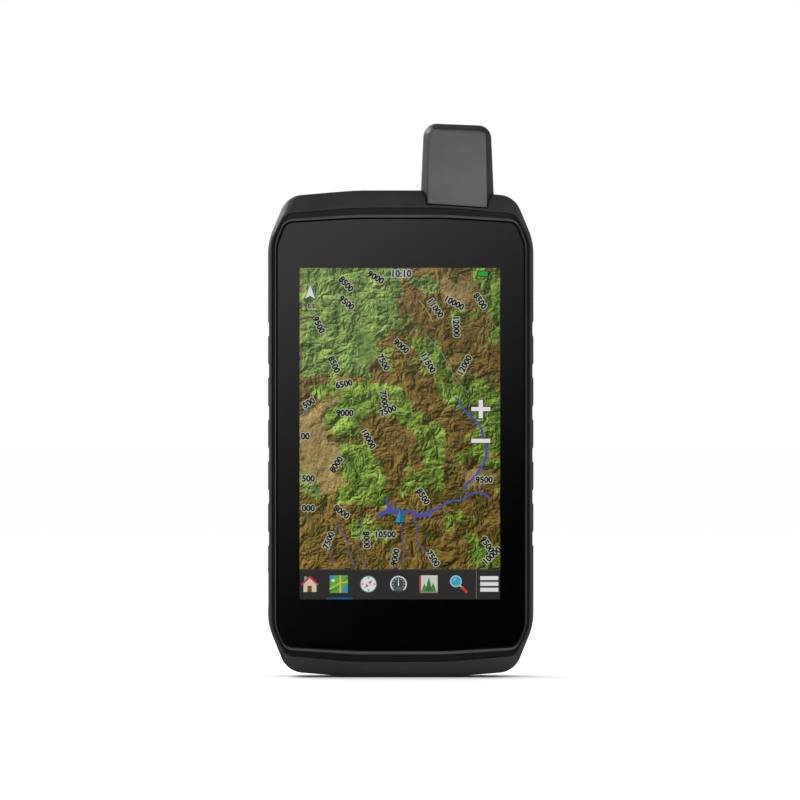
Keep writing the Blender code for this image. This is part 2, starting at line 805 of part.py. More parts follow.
# ---------------------------------------------------------------- button, ports and caps
def make_power_button():
    low = (BUTTON_Y - 3.0, 124.0)
    high = (BUTTON_Y + 3.0, 138.0)

    def outline(grow):
        return rectangle(low[0] - grow, high[0] + grow, low[1] - grow, high[1] + grow, 2.6 + grow, 4)

    button = loft("power_button", "X", [
        (38.6, outline(1.0)),
        (39.3, outline(1.0)),
        (39.3, outline(0.0)),
        (43.4, outline(0.0)),
        (43.9, outline(-0.5)),
    ])
    set_origin(button, 41.0, BUTTON_Y, SIDE_FITTING_Z)
    finish(button, "cap_rubber")
    finish(flat_ring("button_seal", "X", (40.2, 41.6), outline(1.1), outline(GAP)), "silicone")
    switch = loft("power_switch", "X", [
        (34.2, rectangle(-7.2, -4.3, 128.0, 134.0)),
        (36.6, rectangle(-7.2, -4.3, 128.0, 134.0)),
        (36.6, rectangle(-6.7, -4.8, 130.0, 132.0)),
        (37.5, rectangle(-6.7, -4.8, 130.0, 132.0)),
    ])
    finish(switch, "steel")


def make_port_cap(name, port):
    """A flush weather cap with a plug behind it, hinged along its lower edge."""
    y, z = port
    flange = rectangle(y - 3.3, y + 3.3, z - 6.3, z + 6.3, 2.1, 4)
    edge = rectangle(y - 2.9, y + 2.9, z - 5.9, z + 5.9, 1.7, 4)
    plug = rectangle(y - 2.3, y + 2.3, z - 4.7, z + 4.5, 1.5, 4)
    tip = rectangle(y - 2.0, y + 2.0, z - 4.4, z + 3.9, 1.2, 4)
    cap = loft(name, "X", [
        (-43.9, edge),
        (-43.5, flange),
        (-42.9, flange),
        (-42.9, plug),
        (-41.8, tip),
    ])
    set_origin(cap, -43.9, y, z - 6.3)
    finish(cap, "cap_rubber")


def make_ports():
    y, z = USB_PORT
    shell = rectangle(y - 1.45, y + 1.45, z - 3.9, z + 3.9, 0.7, 2)
    mouth = rectangle(y - 0.95, y + 0.95, z - 3.4, z + 3.4, 0.4, 2)
    socket = loft("usb_socket", "X", [(-34.5, shell), (-40.6, shell), (-40.6, mouth), (-36.0, mouth)])
    finish(socket, "tin_plate")
    make_port_cap("usb_cap", USB_PORT)
    jack = turned("antenna_jack", "X", ANTENNA_PORT, [
        (-34.5, 2.4),
        (-38.0, 2.4),
        (-38.0, 1.9),
        (-40.8, 1.9),
        (-40.8, 1.3),
        (-37.0, 1.3),
    ], 16)
    finish(jack, "gold")
    make_port_cap("antenna_port_cap", ANTENNA_PORT)


# ---------------------------------------------------------------- battery and its cover
def make_battery():
    pack = soft_prism(
        "battery_pack",
        "Y",
        BATTERY_Y,
        (-BATTERY_HALF_WIDTH, BATTERY_Z[0]),
        (BATTERY_HALF_WIDTH, BATTERY_Z[1]),
        2.5,
        0.8,
    )
    set_origin(pack, 0.0, BATTERY_Y[0], 0.5 * sum(BATTERY_Z))
    finish(pack, "battery_wrap")
    block = prism("terminal_block", "Y", (1.7, 8.7), rectangle(-8.7, 8.7, BAY_Z[1] + 0.7, BAY_Z[1] + 2.1))
    finish(block, "black_insulator")
    for number in range(3):
        x = -6.0 + 6.0 * number
        leaf = prism(f"battery_contact_{number + 1}", "X", (x - 1.1, x + 1.1), [
            (2.6, 95.6),
            (2.6, 95.1),
            (5.0, 92.4),
            (7.4, 95.1),
            (7.4, 95.6),
            (6.9, 95.6),
            (5.0, 93.4),
            (3.1, 95.6),
        ])
        finish(leaf, "gold")


def make_cover():
    low_z, high_z = COVER_Z
    half = COVER_HALF_WIDTH
    edge = rectangle(-half, half, low_z, high_z, 6.0, 5)
    trimmed = rectangle(-half + 0.5, half - 0.5, low_z + 0.5, high_z - 0.5, 5.5, 5)
    cover = loft("battery_cover", "Y", [
        (COVER_Y[0], edge),
        (COVER_Y[1] - 0.5, edge),
        (COVER_Y[1], trimmed),
        (COVER_Y[1], rectangle(-27.0, 27.0, 38.0, 100.0, 8.0, 5)),
        (COVER_Y[1] + 0.8, rectangle(-25.4, 25.4, 39.6, 98.4, 7.0, 5)),
        (COVER_Y[1] + 1.1, rectangle(-23.5, 23.5, 41.5, 96.5, 6.0, 5)),
    ])
    hole = turned("cut_latch_seat", "Y", (0.0, LATCH_Z), [(9.0, 2.7), (11.9, 2.7), (11.9, 5.6), (20.0, 5.6)], 24)
    combine(cover, hole)
    set_origin(cover, 0.0, COVER_Y[0], 0.5 * (low_z + high_z))
    finish(cover, "case_plastic")
    seal = flat_ring(
        "cover_seal",
        "Y",
        (COVER_SEAT_Y + GAP, COVER_Y[0] - GAP),
        rectangle(-29.9, 29.9, 21.0, 100.4, 5.0, 5),
        rectangle(-28.3, 28.3, 22.6, 98.8, 3.4, 5),
    )
    finish(seal, "silicone")


def make_latch():
    stud = turned("latch_stud", "Y", (0.0, LATCH_Z), [
        (3.6, 1.8),
        (4.2, 2.4),
        (12.2, 2.4),
        (12.2, 5.2),
        (15.5, 5.2),
        (16.1, 4.5),
    ], 24)
    eye = turned("cut_ring_eye", "X", (RING_Y, LATCH_Z), [(-8.0, RING_WIRE + GAP), (8.0, RING_WIRE + GAP)], 12)
    combine(stud, eye)
    set_origin(stud, 0.0, 12.2, LATCH_Z)
    finish(stud, "steel")
    clip = flat_ring(
        "stud_clip", "Y", (10.0, 10.6), circle(0.0, LATCH_Z, 3.8), circle(0.0, LATCH_Z, 2.4 + GAP)
    )
    finish(clip, "steel")


def make_ring():
    """A D of round wire: a straight leg through the stud's eye, and a round bow above it."""
    path = [(x, RING_Y, z) for x, z in rounded([
        (-7.6, LATCH_Z, 1.6, 3),
        (7.6, LATCH_Z, 1.6, 3),
        (8.2, LATCH_Z + 14.6, 7.2, 8),
        (-8.2, LATCH_Z + 14.6, 7.2, 8),
    ])]
    ring = swept("d_ring", path, RING_WIRE, True)
    set_origin(ring, 0.0, RING_Y, LATCH_Z)
    finish(ring, "steel")


# ---------------------------------------------------------------- the whole unit
def main():
    clear_scene()
    make_bezel()
    make_glass()
    make_display()
    make_case_seal()
    make_display_frame()
    make_main_board()
    make_shields()
    make_board_screws()
    make_speaker()
    make_card()
    make_housing()
    make_grips()
    make_case_screws()
    make_vent()
    make_mount_contacts()
    make_antenna()
    make_antenna_element()
    make_power_button()
    make_ports()
    make_battery()
    make_cover()
    make_latch()
    make_ring()


main()
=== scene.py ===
"""Looks of the handheld GPS unit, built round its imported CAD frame.

The visible shells are made again as finer meshes in the places that the frame gives them, and every
piece gets a material of nodes.  Lengths in this file are millimetres unless a name ends in _m.
"""

import math

import bmesh
import bpy
from mathutils import Matrix, Vector


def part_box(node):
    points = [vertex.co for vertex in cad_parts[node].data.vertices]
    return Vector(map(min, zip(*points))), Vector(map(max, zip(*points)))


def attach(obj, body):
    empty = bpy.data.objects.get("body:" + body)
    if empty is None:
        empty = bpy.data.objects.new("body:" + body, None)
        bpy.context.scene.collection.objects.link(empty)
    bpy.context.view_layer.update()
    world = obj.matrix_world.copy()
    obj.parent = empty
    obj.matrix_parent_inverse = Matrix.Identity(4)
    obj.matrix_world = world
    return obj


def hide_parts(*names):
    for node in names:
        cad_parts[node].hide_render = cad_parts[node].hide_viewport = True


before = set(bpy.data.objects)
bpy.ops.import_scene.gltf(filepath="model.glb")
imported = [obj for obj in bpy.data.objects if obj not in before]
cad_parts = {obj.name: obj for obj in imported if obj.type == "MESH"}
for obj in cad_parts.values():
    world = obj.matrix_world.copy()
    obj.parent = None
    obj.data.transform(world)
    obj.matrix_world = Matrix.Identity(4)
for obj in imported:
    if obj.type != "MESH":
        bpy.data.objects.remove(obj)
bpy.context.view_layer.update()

MM = 0.001
GAP = 0.3


# ---------------------------------------------------------------- places read from the frame
def box(node):
    """The lowest and highest corners of a CAD node, in millimetres."""
    low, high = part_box(node)
    return low / MM, high / MM


CASE_LOW, CASE_HIGH = box("rear_housing")
GLASS_LOW, GLASS_HIGH = box("cover_glass")
BEZEL_LOW, BEZEL_HIGH = box("front_bezel")
ANTENNA_LOW, ANTENNA_HIGH = box("antenna_housing")
FACE_LOW, FACE_HIGH = box("antenna_face")
COVER_LOW, COVER_HIGH = box("battery_cover")
MODULE_LOW, MODULE_HIGH = box("display_module")
GRIP_LOW, GRIP_HIGH = box("right_grip")
KEY_LOW, KEY_HIGH = box("power_button")
USB_LOW, USB_HIGH = box("usb_cap")
JACK_LOW, JACK_HIGH = box("antenna_port_cap")
STUD_LOW, STUD_HIGH = box("latch_stud")
RING_LOW, RING_HIGH = box("d_ring")
SPEAKER_LOW, SPEAKER_HIGH = box("speaker")
VENT_LOW, VENT_HIGH = box("pressure_vent")
CARD_LOW, CARD_HIGH = box("memory_card")
BLOCK_LOW, BLOCK_HIGH = box("contact_block")


def middle(low, high):
    return 0.5 * (low + high)


# Depths of the housing's edges, from the front rim to the back of the mounting spine.
RIM_Y = -14.9
SEAT_Y = -12.0
SHOULDER_Y = -9.5
HEEL_Y = 6.5
BACK_Y = COVER_HIGH.y - 1.1
SPINE_Y = CASE_HIGH.y
BEYOND_Y = 20.0
BEYOND_X = 50.0

LATCH_Z = middle(STUD_LOW.z, STUD_HIGH.z)
RING_Y = middle(RING_LOW.y, RING_HIGH.y)
RING_WIRE = 0.5 * (RING_HIGH.y - RING_LOW.y)

# The bezel's top stands lower than in the CAD, as in the photo, and its seam is narrow.
BEZEL_DROP = 0.7
BEZEL_SEAM = 0.12
GLASS_ROOM = 0.35
GLASS_EDGE = 0.35
BEZEL_BACK_Y = -13.0
LEDGE_Y = -13.85
LIP_Y = -15.75

# The lit picture on the display module.
PICTURE_LOW = (-33.5, 25.9)
PICTURE_HIGH = (32.9, 135.6)
PICTURE_Y = MODULE_LOW.y - 0.02
TOOLBAR_TOP = 35.9


# ---------------------------------------------------------------- mesh helpers
def rounded(corners):
    """A closed outline from (u, v, radius, steps) corners, each turned by a tangent arc."""
    outline = []
    count = len(corners)
    for index, (u, v, radius, steps) in enumerate(corners):
        if steps == 0:
            outline.append((u, v))
            continue
        corner = Vector((u, v))
        before = (Vector(corners[index - 1][:2]) - corner).normalized()
        after = (Vector(corners[(index + 1) % count][:2]) - corner).normalized()
        half = 0.5 * before.angle(after)
        centre = corner + (before + after).normalized() * (radius / math.sin(half))
        start = corner + before * (radius / math.tan(half)) - centre
        sweep = math.pi - 2.0 * half
        turn = 1.0 if before.x * after.y - before.y * after.x < 0.0 else -1.0
        for step in range(steps + 1):
            spoke = Matrix.Rotation(turn * sweep * step / steps, 2) @ start
            outline.append((centre.x + spoke.x, centre.y + spoke.y))
    return outline


def rectangle(low_u, high_u, low_v, high_v, radius=0.0, steps=0):
    return rounded([
        (low_u, low_v, radius, steps),
        (high_u, low_v, radius, steps),
        (high_u, high_v, radius, steps),
        (low_u, high_v, radius, steps),
    ])


def framed(low, high, axes, grow, radius, steps):
    """A rounded rectangle round a node's box in two of its axes, larger by grow all round."""
    low_u, low_v = (getattr(low, axis) for axis in axes)
    high_u, high_v = (getattr(high, axis) for axis in axes)
    return rectangle(low_u - grow, high_u + grow, low_v - grow, high_v + grow, radius, steps)


def circle(centre_u, centre_v, radius, steps=48):
    return [
        (
            centre_u + radius * math.cos(2.0 * math.pi * step / steps),
            centre_v + radius * math.sin(2.0 * math.pi * step / steps),
        )
        for step in range(steps)
    ]


def rolled_edge(start, radius, outline, first=1, steps=5):
    """Sections of a quarter-round edge that rises from start while its outline closes in."""
    angles = [0.5 * math.pi * step / steps for step in range(first, steps + 1)]
    return [
        (start + radius * math.sin(angle), outline(radius - radius * math.cos(angle))) for angle in angles
    ]


def blend(first, second, amount):
    """The outline part of the way from one outline to another."""
    return [
        (u + (u2 - u) * amount, v + (v2 - v) * amount)
        for (u, v), (u2, v2) in zip(first, second)
    ]


def place(axis, height, u, v):
    if axis == "X":
        return (height, u, v)
    if axis == "Y":
        return (u, height, v)
    return (u, v, height)


def link(name, data):
    obj = bpy.data.objects.new(name, data)
    bpy.context.scene.collection.objects.link(obj)
    return obj


def shade(obj, angle=32.0):
    obj.data.shade_smooth()
    obj.data.set_sharp_from_angle(angle=math.radians(angle))


def mesh_object(name, points, faces, angle=32.0):
    mesh = bpy.data.meshes.new(name)
    mesh.from_pydata([Vector(point) * MM for point in points], [], faces)
    shape = bmesh.new()
    shape.from_mesh(mesh)
    bmesh.ops.recalc_face_normals(shape, faces=shape.faces)
    shape.to_mesh(mesh)
    shape.free()
    obj = link(name, mesh)
    shade(obj, angle)
    return obj


def side_faces(size, level, following):
    """The quads between two sections of a loft."""
    faces = []
    for step in range(size):
        aside = (step + 1) % size
        faces.append((
            level * size + step,
            level * size + aside,
            following * size + aside,
            following * size + step,
        ))
    return faces


def loft(name, axis, sections, angle=32.0):
    """A closed solid through (height, outline) sections along an axis."""
    size = len(sections[0][1])
    points = [place(axis, height, u, v) for height, outline in sections for u, v in outline]
    faces = []
    for level in range(len(sections) - 1):
        faces += side_faces(size, level, level + 1)
    last = (len(sections) - 1) * size
    faces.append(tuple(range(size)))
    faces.append(tuple(range(last, last + size)))
    return mesh_object(name, points, faces, angle)


def ring_loft(name, axis, sections, angle=32.0):
    """A closed ring whose cross-section runs through (height, outline) sections and back."""
    size = len(sections[0][1])
    count = len(sections)
    points = [place(axis, height, u, v) for height, outline in sections for u, v in outline]
    faces = []
    for level in range(count):
        faces += side_faces(size, level, (level + 1) % count)
    return mesh_object(name, points, faces, angle)


def prism(name, axis, span, outline):
    return loft(name, axis, [(span[0], outline), (span[1], outline)])


def turned(name, axis, centre, profile, steps):
    return loft(name, axis, [(height, circle(*centre, radius, steps)) for height, radius in profile])


def combine(target, tools, operation="DIFFERENCE"):
    """Cut, add or intersect with tool objects, and remove the tools."""
    for tool in tools:
        step = target.modifiers.new(tool.name, "BOOLEAN")
        step.operation = operation
        step.solver = "EXACT"
        step.object = tool
    graph = bpy.context.evaluated_depsgraph_get()
    mesh = bpy.data.meshes.new_from_object(target.evaluated_get(graph))
    target.modifiers.clear()
    target.data = mesh
    for tool in tools:
        bpy.data.objects.remove(tool, do_unlink=True)
    shade(target)


def joined(tools):
    """One cutter made of several that don't meet."""
    shape = bmesh.new()
    for tool in tools:
        shape.from_mesh(tool.data)
        bpy.data.objects.remove(tool, do_unlink=True)
    mesh = bpy.data.meshes.new("cutters")
    shape.to_mesh(mesh)
    shape.free()
    return link("cutters", mesh)


def even_normals(obj):
    """Let flat faces keep flat shading up to their rounded edges."""
    step = obj.modifiers.new("even_normals", "WEIGHTED_NORMAL")
    step.keep_sharp = True
    step.weight = 80
    return obj


def thicken(obj, thickness):
    """Make a thin solid of a flat piece, behind its face."""
    step = obj.modifiers.new("thickness", "SOLIDIFY")
    step.thickness = thickness * MM
    step.offset = -1.0


def wear(obj, surface):
    """Give every face of an object one material."""
    obj.data.materials.clear()
    obj.data.materials.append(surface)


def settle(obj, surface, body, slot, *nodes):
    """Finish a piece: its material, the body it rides on, and the CAD nodes that it stands for."""
    wear(obj, surface)
    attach(obj, body)
    if nodes:
        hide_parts(*nodes)


# ---------------------------------------------------------------- outlines of the front view
def case_outline(half_width, bottom, top, low_rise, high_drop, taper, sag, corner_radius, bend=12.0):
    """The case's outline in X and Z: straight sides, cut corners, a flat foot and a low crown."""
    right = [
        (15.0, bottom, 110.0, 5),
        (half_width - taper, bottom + sag, corner_radius, 9),
        (half_width, bottom + low_rise, bend, 6),
        (half_width, top - high_drop, bend, 6),
        (half_width - taper, top - sag, corner_radius, 9),
        (15.0, top, 110.0, 5),
    ]
    left = [(-x, z, radius, steps) for x, z, radius, steps in reversed(right)]
    return rounded(right + left)


def silhouette():
    return case_outline(CASE_HIGH.x, CASE_LOW.z, CASE_HIGH.z, 17.3, 16.9, 6.3, 1.9, 7.8, 20.0)


def rim_outline():
    return case_outline(43.1, 4.7, 156.1, 12.3, 11.5, 4.8, 2.0, 4.3)


def bezel_outline(grow=0.0):
    return case_outline(
        BEZEL_HIGH.x + grow, BEZEL_LOW.z - grow, BEZEL_HIGH.z - BEZEL_DROP + grow, 11.9, 11.1, 4.6, 2.0, 4.2
    )


def glass_outline(grow=0.0):
    return case_outline(
        GLASS_HIGH.x + grow, GLASS_LOW.z - grow, GLASS_HIGH.z + grow, 8.0, 8.8, 2.9, 1.35, 3.5 + grow
    )


def cavity_outline():
    return case_outline(40.0, 8.9, 152.5, 9.1, 9.5, 3.7, 1.6, 3.5)


def window_outline():
    return case_outline(34.6, 17.4, 144.6, 3.2, 3.2, 0.5, 0.6, 0.8)


def back_outline():
    return case_outline(37.6, 5.6, 155.8, 13.0, 12.0, 4.5, 1.9, 4.0)


# ---------------------------------------------------------------- node helpers for materials
class Nodes:
    """Short calls for building one material's node tree."""

    def __init__(self, name):
        self.surface = bpy.data.materials.new(name)
        self.surface.use_nodes = True
        self.tree = self.surface.node_tree
        self.shader = self.tree.nodes["Principled BSDF"]

    def add(self, kind, **settings):
        node = self.tree.nodes.new(kind)
        for key, value in settings.items():
            setattr(node, key, value)
        return node

    def feed(self, value, socket):
        if isinstance(value, bpy.types.NodeSocket):
            self.tree.links.new(value, socket)
        elif socket.type == "RGBA":
            socket.default_value = (*value[:3], 1.0)
        else:
            socket.default_value = value

    def feed_all(self, node, **values):
        for name, value in values.items():
            self.feed(value, node.inputs[name])

    def math(self, operation, first, second=0.0, third=0.0):
        node = self.add("ShaderNodeMath", operation=operation)
        for value, socket in zip((first, second, third), node.inputs):
            self.feed(value, socket)
        return node.outputs[0]

    def times(self, first, second):
        return self.math("MULTIPLY", first, second)

    def plus(self, first, second):
        return self.math("ADD", first, second)

    def off_centre(self, value):
        """How far a value lies from a half, whichever way."""
        return self.math("ABSOLUTE", self.math("SUBTRACT", value, 0.5))

    def vector(self, operation, first, second):
        node = self.add("ShaderNodeVectorMath", operation=operation)
        self.feed(first, node.inputs[0])
        self.feed(second, node.inputs["Scale" if operation == "SCALE" else 1])
        return node.outputs["Value" if operation == "DOT_PRODUCT" else "Vector"]

    def scaled(self, vector, amount):
        return self.vector("SCALE", vector, amount)

    def shifted(self, vector, offset):
        return self.vector("ADD", vector, offset)

    def along(self, vector, axis):
        return self.vector("DOT_PRODUCT", vector, axis)

    def place(self):
        """Object coordinates in millimetres."""
        coordinate = self.add("ShaderNodeTexCoord")
        return self.scaled(coordinate.outputs["Object"], 1.0 / MM)

    def noise(self, vector, scale, detail, roughness, output="Fac"):
        node = self.add("ShaderNodeTexNoise")
        self.feed_all(node, Vector=vector, Scale=scale, Detail=detail, Roughness=roughness)
        return node.outputs[output]

    def cells(self, vector, scale, randomness=1.0):
        """The distance to the nearest of a field of points."""
        node = self.add("ShaderNodeTexVoronoi")
        self.feed_all(node, Vector=vector, Scale=scale, Randomness=randomness)
        return node.outputs["Distance"]

    def span(self, value, low, high, to_low=0.0, to_high=1.0):
        node = self.add("ShaderNodeMapRange")
        for item, socket in zip((value, low, high, to_low, to_high), node.inputs):
            self.feed(item, socket)
        return node.outputs[0]

    def vary(self, noise, low, high):
        """A noise's usual range stretched between two values."""
        return self.span(noise, 0.3, 0.7, low, high)

    def mix(self, amount, first, second):
        node = self.add("ShaderNodeMix", data_type="RGBA")
        self.feed(amount, node.inputs["Factor"])
        self.feed(first, node.inputs[6])
        self.feed(second, node.inputs[7])
        return node.outputs[2]

    def ramp(self, value, stops):
        node = self.add("ShaderNodeValToRGB")
        elements = node.color_ramp.elements
        while len(elements) < len(stops):
            elements.new(0.5)
        for element, (position, colour) in zip(elements, stops):
            element.position = position
            element.color = (*colour, 1.0)
        self.feed(value, node.inputs[0])
        return node.outputs[0]

    def bump(self, height, strength, depth, under=None):
        node = self.add("ShaderNodeBump")
        self.feed_all(node, Strength=strength, Distance=depth * MM, Height=height)
        if under is not None:
            self.feed(under, node.inputs["Normal"])
        return node.outputs[0]

    def painted_shade_factor(self, reach, darkest):
        """A painted shade factor from ambient occlusion: one in the open, falling to the darkest value in
        seams and corners within reach (mm).
        """
        shade_node = self.add("ShaderNodeAmbientOcclusion", samples=4)
        shade_node.inputs["Distance"].default_value = reach * MM
        return self.span(shade_node.outputs["AO"], 0.25, 0.95, darkest, 1.0)

    def edges(self, radius):
        """0 on open faces, rising to 1 along edges rounder than radius."""
        soft = self.add("ShaderNodeBevel", samples=4)
        soft.inputs["Radius"].default_value = radius * MM
        plain = self.add("ShaderNodeNewGeometry")
        facing = self.along(soft.outputs[0], plain.outputs["Normal"])
        return self.span(facing, 0.995, 0.80), soft.outputs[0]

    def set(self, **values):
        for key, value in values.items():
            self.feed(value, self.shader.inputs[key.replace("_", " ").title().replace("Ior", "IOR")])


def colour(code):
    """A linear colour from an sRGB hex code."""
    parts = [int(code[start:start + 2], 16) / 255.0 for start in (0, 2, 4)]
    return tuple(part / 12.92 if part <= 0.04045 else ((part + 0.055) / 1.055) ** 2.4 for part in parts)


def moulded(name, code, roughness, grain=0.30, depth=0.02, worn=0.35, crest=None):
    """Moulded plastic or rubber: fine grain, cloudy sheen, edges a little polished by handling, and painted
    shade from ambient occlusion in seams and corners.

    A crest is (axis, reach, gain): past that reach from the middle, the tone is multiplied by the gain. The
    bezel's lip gets a painted highlight from it, and the grips get painted shade in their grooves.
    """
    nodes = Nodes(name)
    spot = nodes.place()
    cloud = nodes.noise(spot, 0.035, 4.0, 0.55)
    speck = nodes.noise(spot, 2.2, 2.0, 0.6)
    pits = nodes.cells(spot, 1.0 / grain)
    handled, soft = nodes.edges(0.45)
    tone = nodes.times(nodes.vary(cloud, 0.84, 1.18), nodes.vary(speck, 0.94, 1.06))
    tone = nodes.times(tone, nodes.math("MULTIPLY_ADD", handled, worn, 1.0))
    # Painted light: past the reach the tone changes by the gain, a painted highlight on the bezel's lip and
    # painted shade in the grips' grooves.
    if crest:
        axis, reach, gain = crest
        level = nodes.math("ABSOLUTE", nodes.along(spot, axis))
        fade = 0.12
        tone = nodes.times(tone, nodes.span(level, reach - fade, reach + fade, 1.0, gain))
    # Painted shade: the tone darkens in seams, grooves and corners by ambient occlusion.
    tone = nodes.times(tone, nodes.painted_shade_factor(1.6, 0.45))
    nodes.set(base_color=nodes.scaled(colour(code), tone))
    rub = nodes.noise(nodes.vector("MULTIPLY", spot, (1.0, 1.0, 0.3)), 0.12, 5.0, 0.6)
    dull = nodes.span(rub, 0.35, 0.75, roughness + 0.08, roughness - 0.04)
    dull = nodes.math("SUBTRACT", dull, nodes.times(handled, 0.12))
    nodes.set(roughness=dull)
    height = nodes.plus(pits, nodes.times(speck, 0.5))
    pebbles = nodes.cells(spot, 0.85)
    rear = nodes.span(nodes.along(spot, (0.0, 1.0, 0.0)), -8.0, 6.0, 0.0, 7.0)
    height = nodes.plus(height, nodes.times(pebbles, rear))
    nodes.set(normal=nodes.bump(height, 0.55, depth, soft))
    nodes.set(specular_ior_level=0.32)
    return nodes.surface


def metal(name, code, roughness):
    """Bare metal with fine drawn lines, smudges and brighter edges."""
    nodes = Nodes(name)
    spot = nodes.place()
    lines = nodes.noise(nodes.vector("MULTIPLY", spot, (1.0, 1.0, 14.0)), 1.6, 4.0, 0.6)
    smudge = nodes.noise(spot, 0.25, 4.0, 0.6)
    handled, soft = nodes.edges(0.2)
    tone = nodes.times(nodes.vary(lines, 0.88, 1.08), nodes.vary(smudge, 0.9, 1.05))
    tone = nodes.plus(tone, nodes.times(handled, 0.15))
    nodes.set(base_color=nodes.scaled(colour(code), tone), metallic=1.0)
    nodes.set(roughness=nodes.vary(smudge, roughness - 0.06, roughness + 0.12))
    nodes.set(normal=nodes.bump(lines, 0.25, 0.01, soft))
    return nodes.surface


# ---------------------------------------------------------------- front: bezel, glass, mask
def make_bezel(surface):
    """A frame with a ledge for the glass, a round lip round it and a sloped band outside the lip."""
    seat = glass_outline(GLASS_ROOM)
    outer = bezel_outline()
    window = window_outline()
    sections = [(LEDGE_Y, window), (LEDGE_Y, seat), (LIP_Y + 0.05, seat)]
    lip_steps = 14
    lip_half_width = 0.15
    for step in range(1, lip_steps):
        angle = math.pi * step / lip_steps
        amount = lip_half_width - lip_half_width * math.cos(angle)
        rise = (LIP_Y - BEZEL_LOW.y) * math.sin(angle) ** 0.5
        sections.append((LIP_Y - rise, blend(seat, outer, amount)))
    band = (
        (-15.62, 0.34), (-15.45, 0.48), (-15.20, 0.80), (-15.08, 0.93), (-14.95, 0.985),
    )
    sections += [(y, blend(seat, outer, amount)) for y, amount in band]
    sections += [(-14.75, outer), (BEZEL_BACK_Y, outer), (BEZEL_BACK_Y, window)]
    bezel = ring_loft("bezel_frame", "Y", sections, 50.0)
    settle(even_normals(bezel), surface, "case", "bezel_plastic", "front_bezel")


def make_glass(surface):
    steps = 5
    sections = []
    for step in range(steps + 1):
        angle = 0.5 * math.pi * step / steps
        depth = GLASS_LOW.y + GLASS_EDGE * (1.0 - math.cos(angle))
        sections.append((depth, glass_outline(-GLASS_EDGE + GLASS_EDGE * math.sin(angle))))
    sections.append((GLASS_HIGH.y, glass_outline()))
    glass = loft("cover_glass_pane", "Y", sections, 40.0)
    settle(even_normals(glass), surface, "case", "cover_glass", "cover_glass")


def picture_outline():
    """The lit picture's square-cornered edge, whose points pair with those of the glass's outline."""
    middle_z = middle(GLASS_LOW.z, GLASS_HIGH.z)
    half_z = 0.5 * (GLASS_HIGH.z - GLASS_LOW.z)
    (low_x, low_z), (high_x, high_z) = PICTURE_LOW, PICTURE_HIGH
    outline = []
    for x, z in glass_outline():
        along = x / GLASS_HIGH.x
        up = (z - middle_z) / half_z
        reach = max(abs(along), abs(up))
        outline.append((
            middle(low_x, high_x) + 0.5 * (high_x - low_x) * along / reach,
            middle(low_z, high_z) + 0.5 * (high_z - low_z) * up / reach,
        ))
    return outline


def make_mask(surface):
    """The black border printed on the back of the glass."""
    front = GLASS_HIGH.y + 0.03
    back = front + 0.04
    edge = glass_outline(-0.2)
    picture = picture_outline()
    sections = [(front, edge), (back, edge), (back, picture), (front, picture)]
    mask = ring_loft("glass_black_border", "Y", sections)
    settle(mask, surface, "case", "cover_glass")


# ---------------------------------------------------------------- rear housing and grips
def outer_sections():
    """The case's outer skin: a nearly flat shoulder in front and a quarter-round heel behind."""
    full = silhouette()
    sections = []
    levels = 12
    shoulder_bend = 1.25
    for level in range(levels + 1):
        forward = 1.0 - level / levels
        depth = SHOULDER_Y + (RIM_Y - SHOULDER_Y) * forward
        sections.append((depth, blend(full, rim_outline(), forward ** shoulder_bend)))
    for level in range(levels + 1):
        angle = 0.5 * math.pi * level / levels
        depth = HEEL_Y + (BACK_Y - HEEL_Y) * math.sin(angle)
        sections.append((depth, blend(full, back_outline(), 1.0 - math.cos(angle))))
    return sections


GRIP_POCKET_X = 42.3
GRIP_BACK_X = 42.6
PORT_FLOOR_X = -42.6
INNER_WALL_X = 38.0
CAVITY_BACK_Y = -1.2
BAY_FLOOR_Y = 0.4
GROOVE_FIRST_Z = 46.0
GROOVE_PITCH = 13.88
GROOVE_COUNT = 6


def groove_cutters(side):
    """Six shallow grooves with soft flanks across one side of the case."""
    cutters = []
    for number in range(GROOVE_COUNT):
        z = GROOVE_FIRST_Z + number * GROOVE_PITCH
        flank = [(45.0, 4.8), (44.0, 2.62), (43.80, 2.30), (43.68, 2.05), (43.65, 1.7)]
        outline = [(side * x, z + rise) for x, rise in flank]
        outline += [(side * x, z - rise) for x, rise in reversed(flank)]
        cutters.append(prism(f"groove_{number}", "Y", (-15.5, 10.5), outline))
    return cutters


def mouthed(name, axis, floor, surface, out, outline, chamfer):
    """A cutter from floor out past surface, whose mouth flares by chamfer."""
    sign = 1.0 if out > surface else -1.0
    return loft(name, axis, [
        (floor, outline(0.0)),
        (surface - sign * chamfer, outline(0.0)),
        (surface + sign * 0.02, outline(chamfer)),
        (out, outline(chamfer)),
    ])


def grip_pocket(grow):
    return rectangle(
        GRIP_LOW.y - GAP - grow, GRIP_HIGH.y + 1.2 + grow,
        GRIP_LOW.z - GAP - grow, GRIP_HIGH.z + GAP + grow, 5.3 + grow, 12
    )


def cut_front(housing):
    """The bezel's seat, the main cavity behind it and a deeper one above the battery bay."""
    upper = rectangle(-32.0, 32.0, 106.0, 149.5, 3.0, 6)
    combine(housing, [
        prism("bezel_seat", "Y", (-BEYOND_Y, SEAT_Y), bezel_outline(BEZEL_SEAM)),
        prism("front_cavity", "Y", (BEZEL_BACK_Y, CAVITY_BACK_Y), cavity_outline()),
        prism("upper_cavity", "Y", (-2.0, 10.8), upper),
    ])


def cover_seat(grow):
    return framed(COVER_LOW, COVER_HIGH, "xz", GAP + grow, 6.3 + grow, 12)


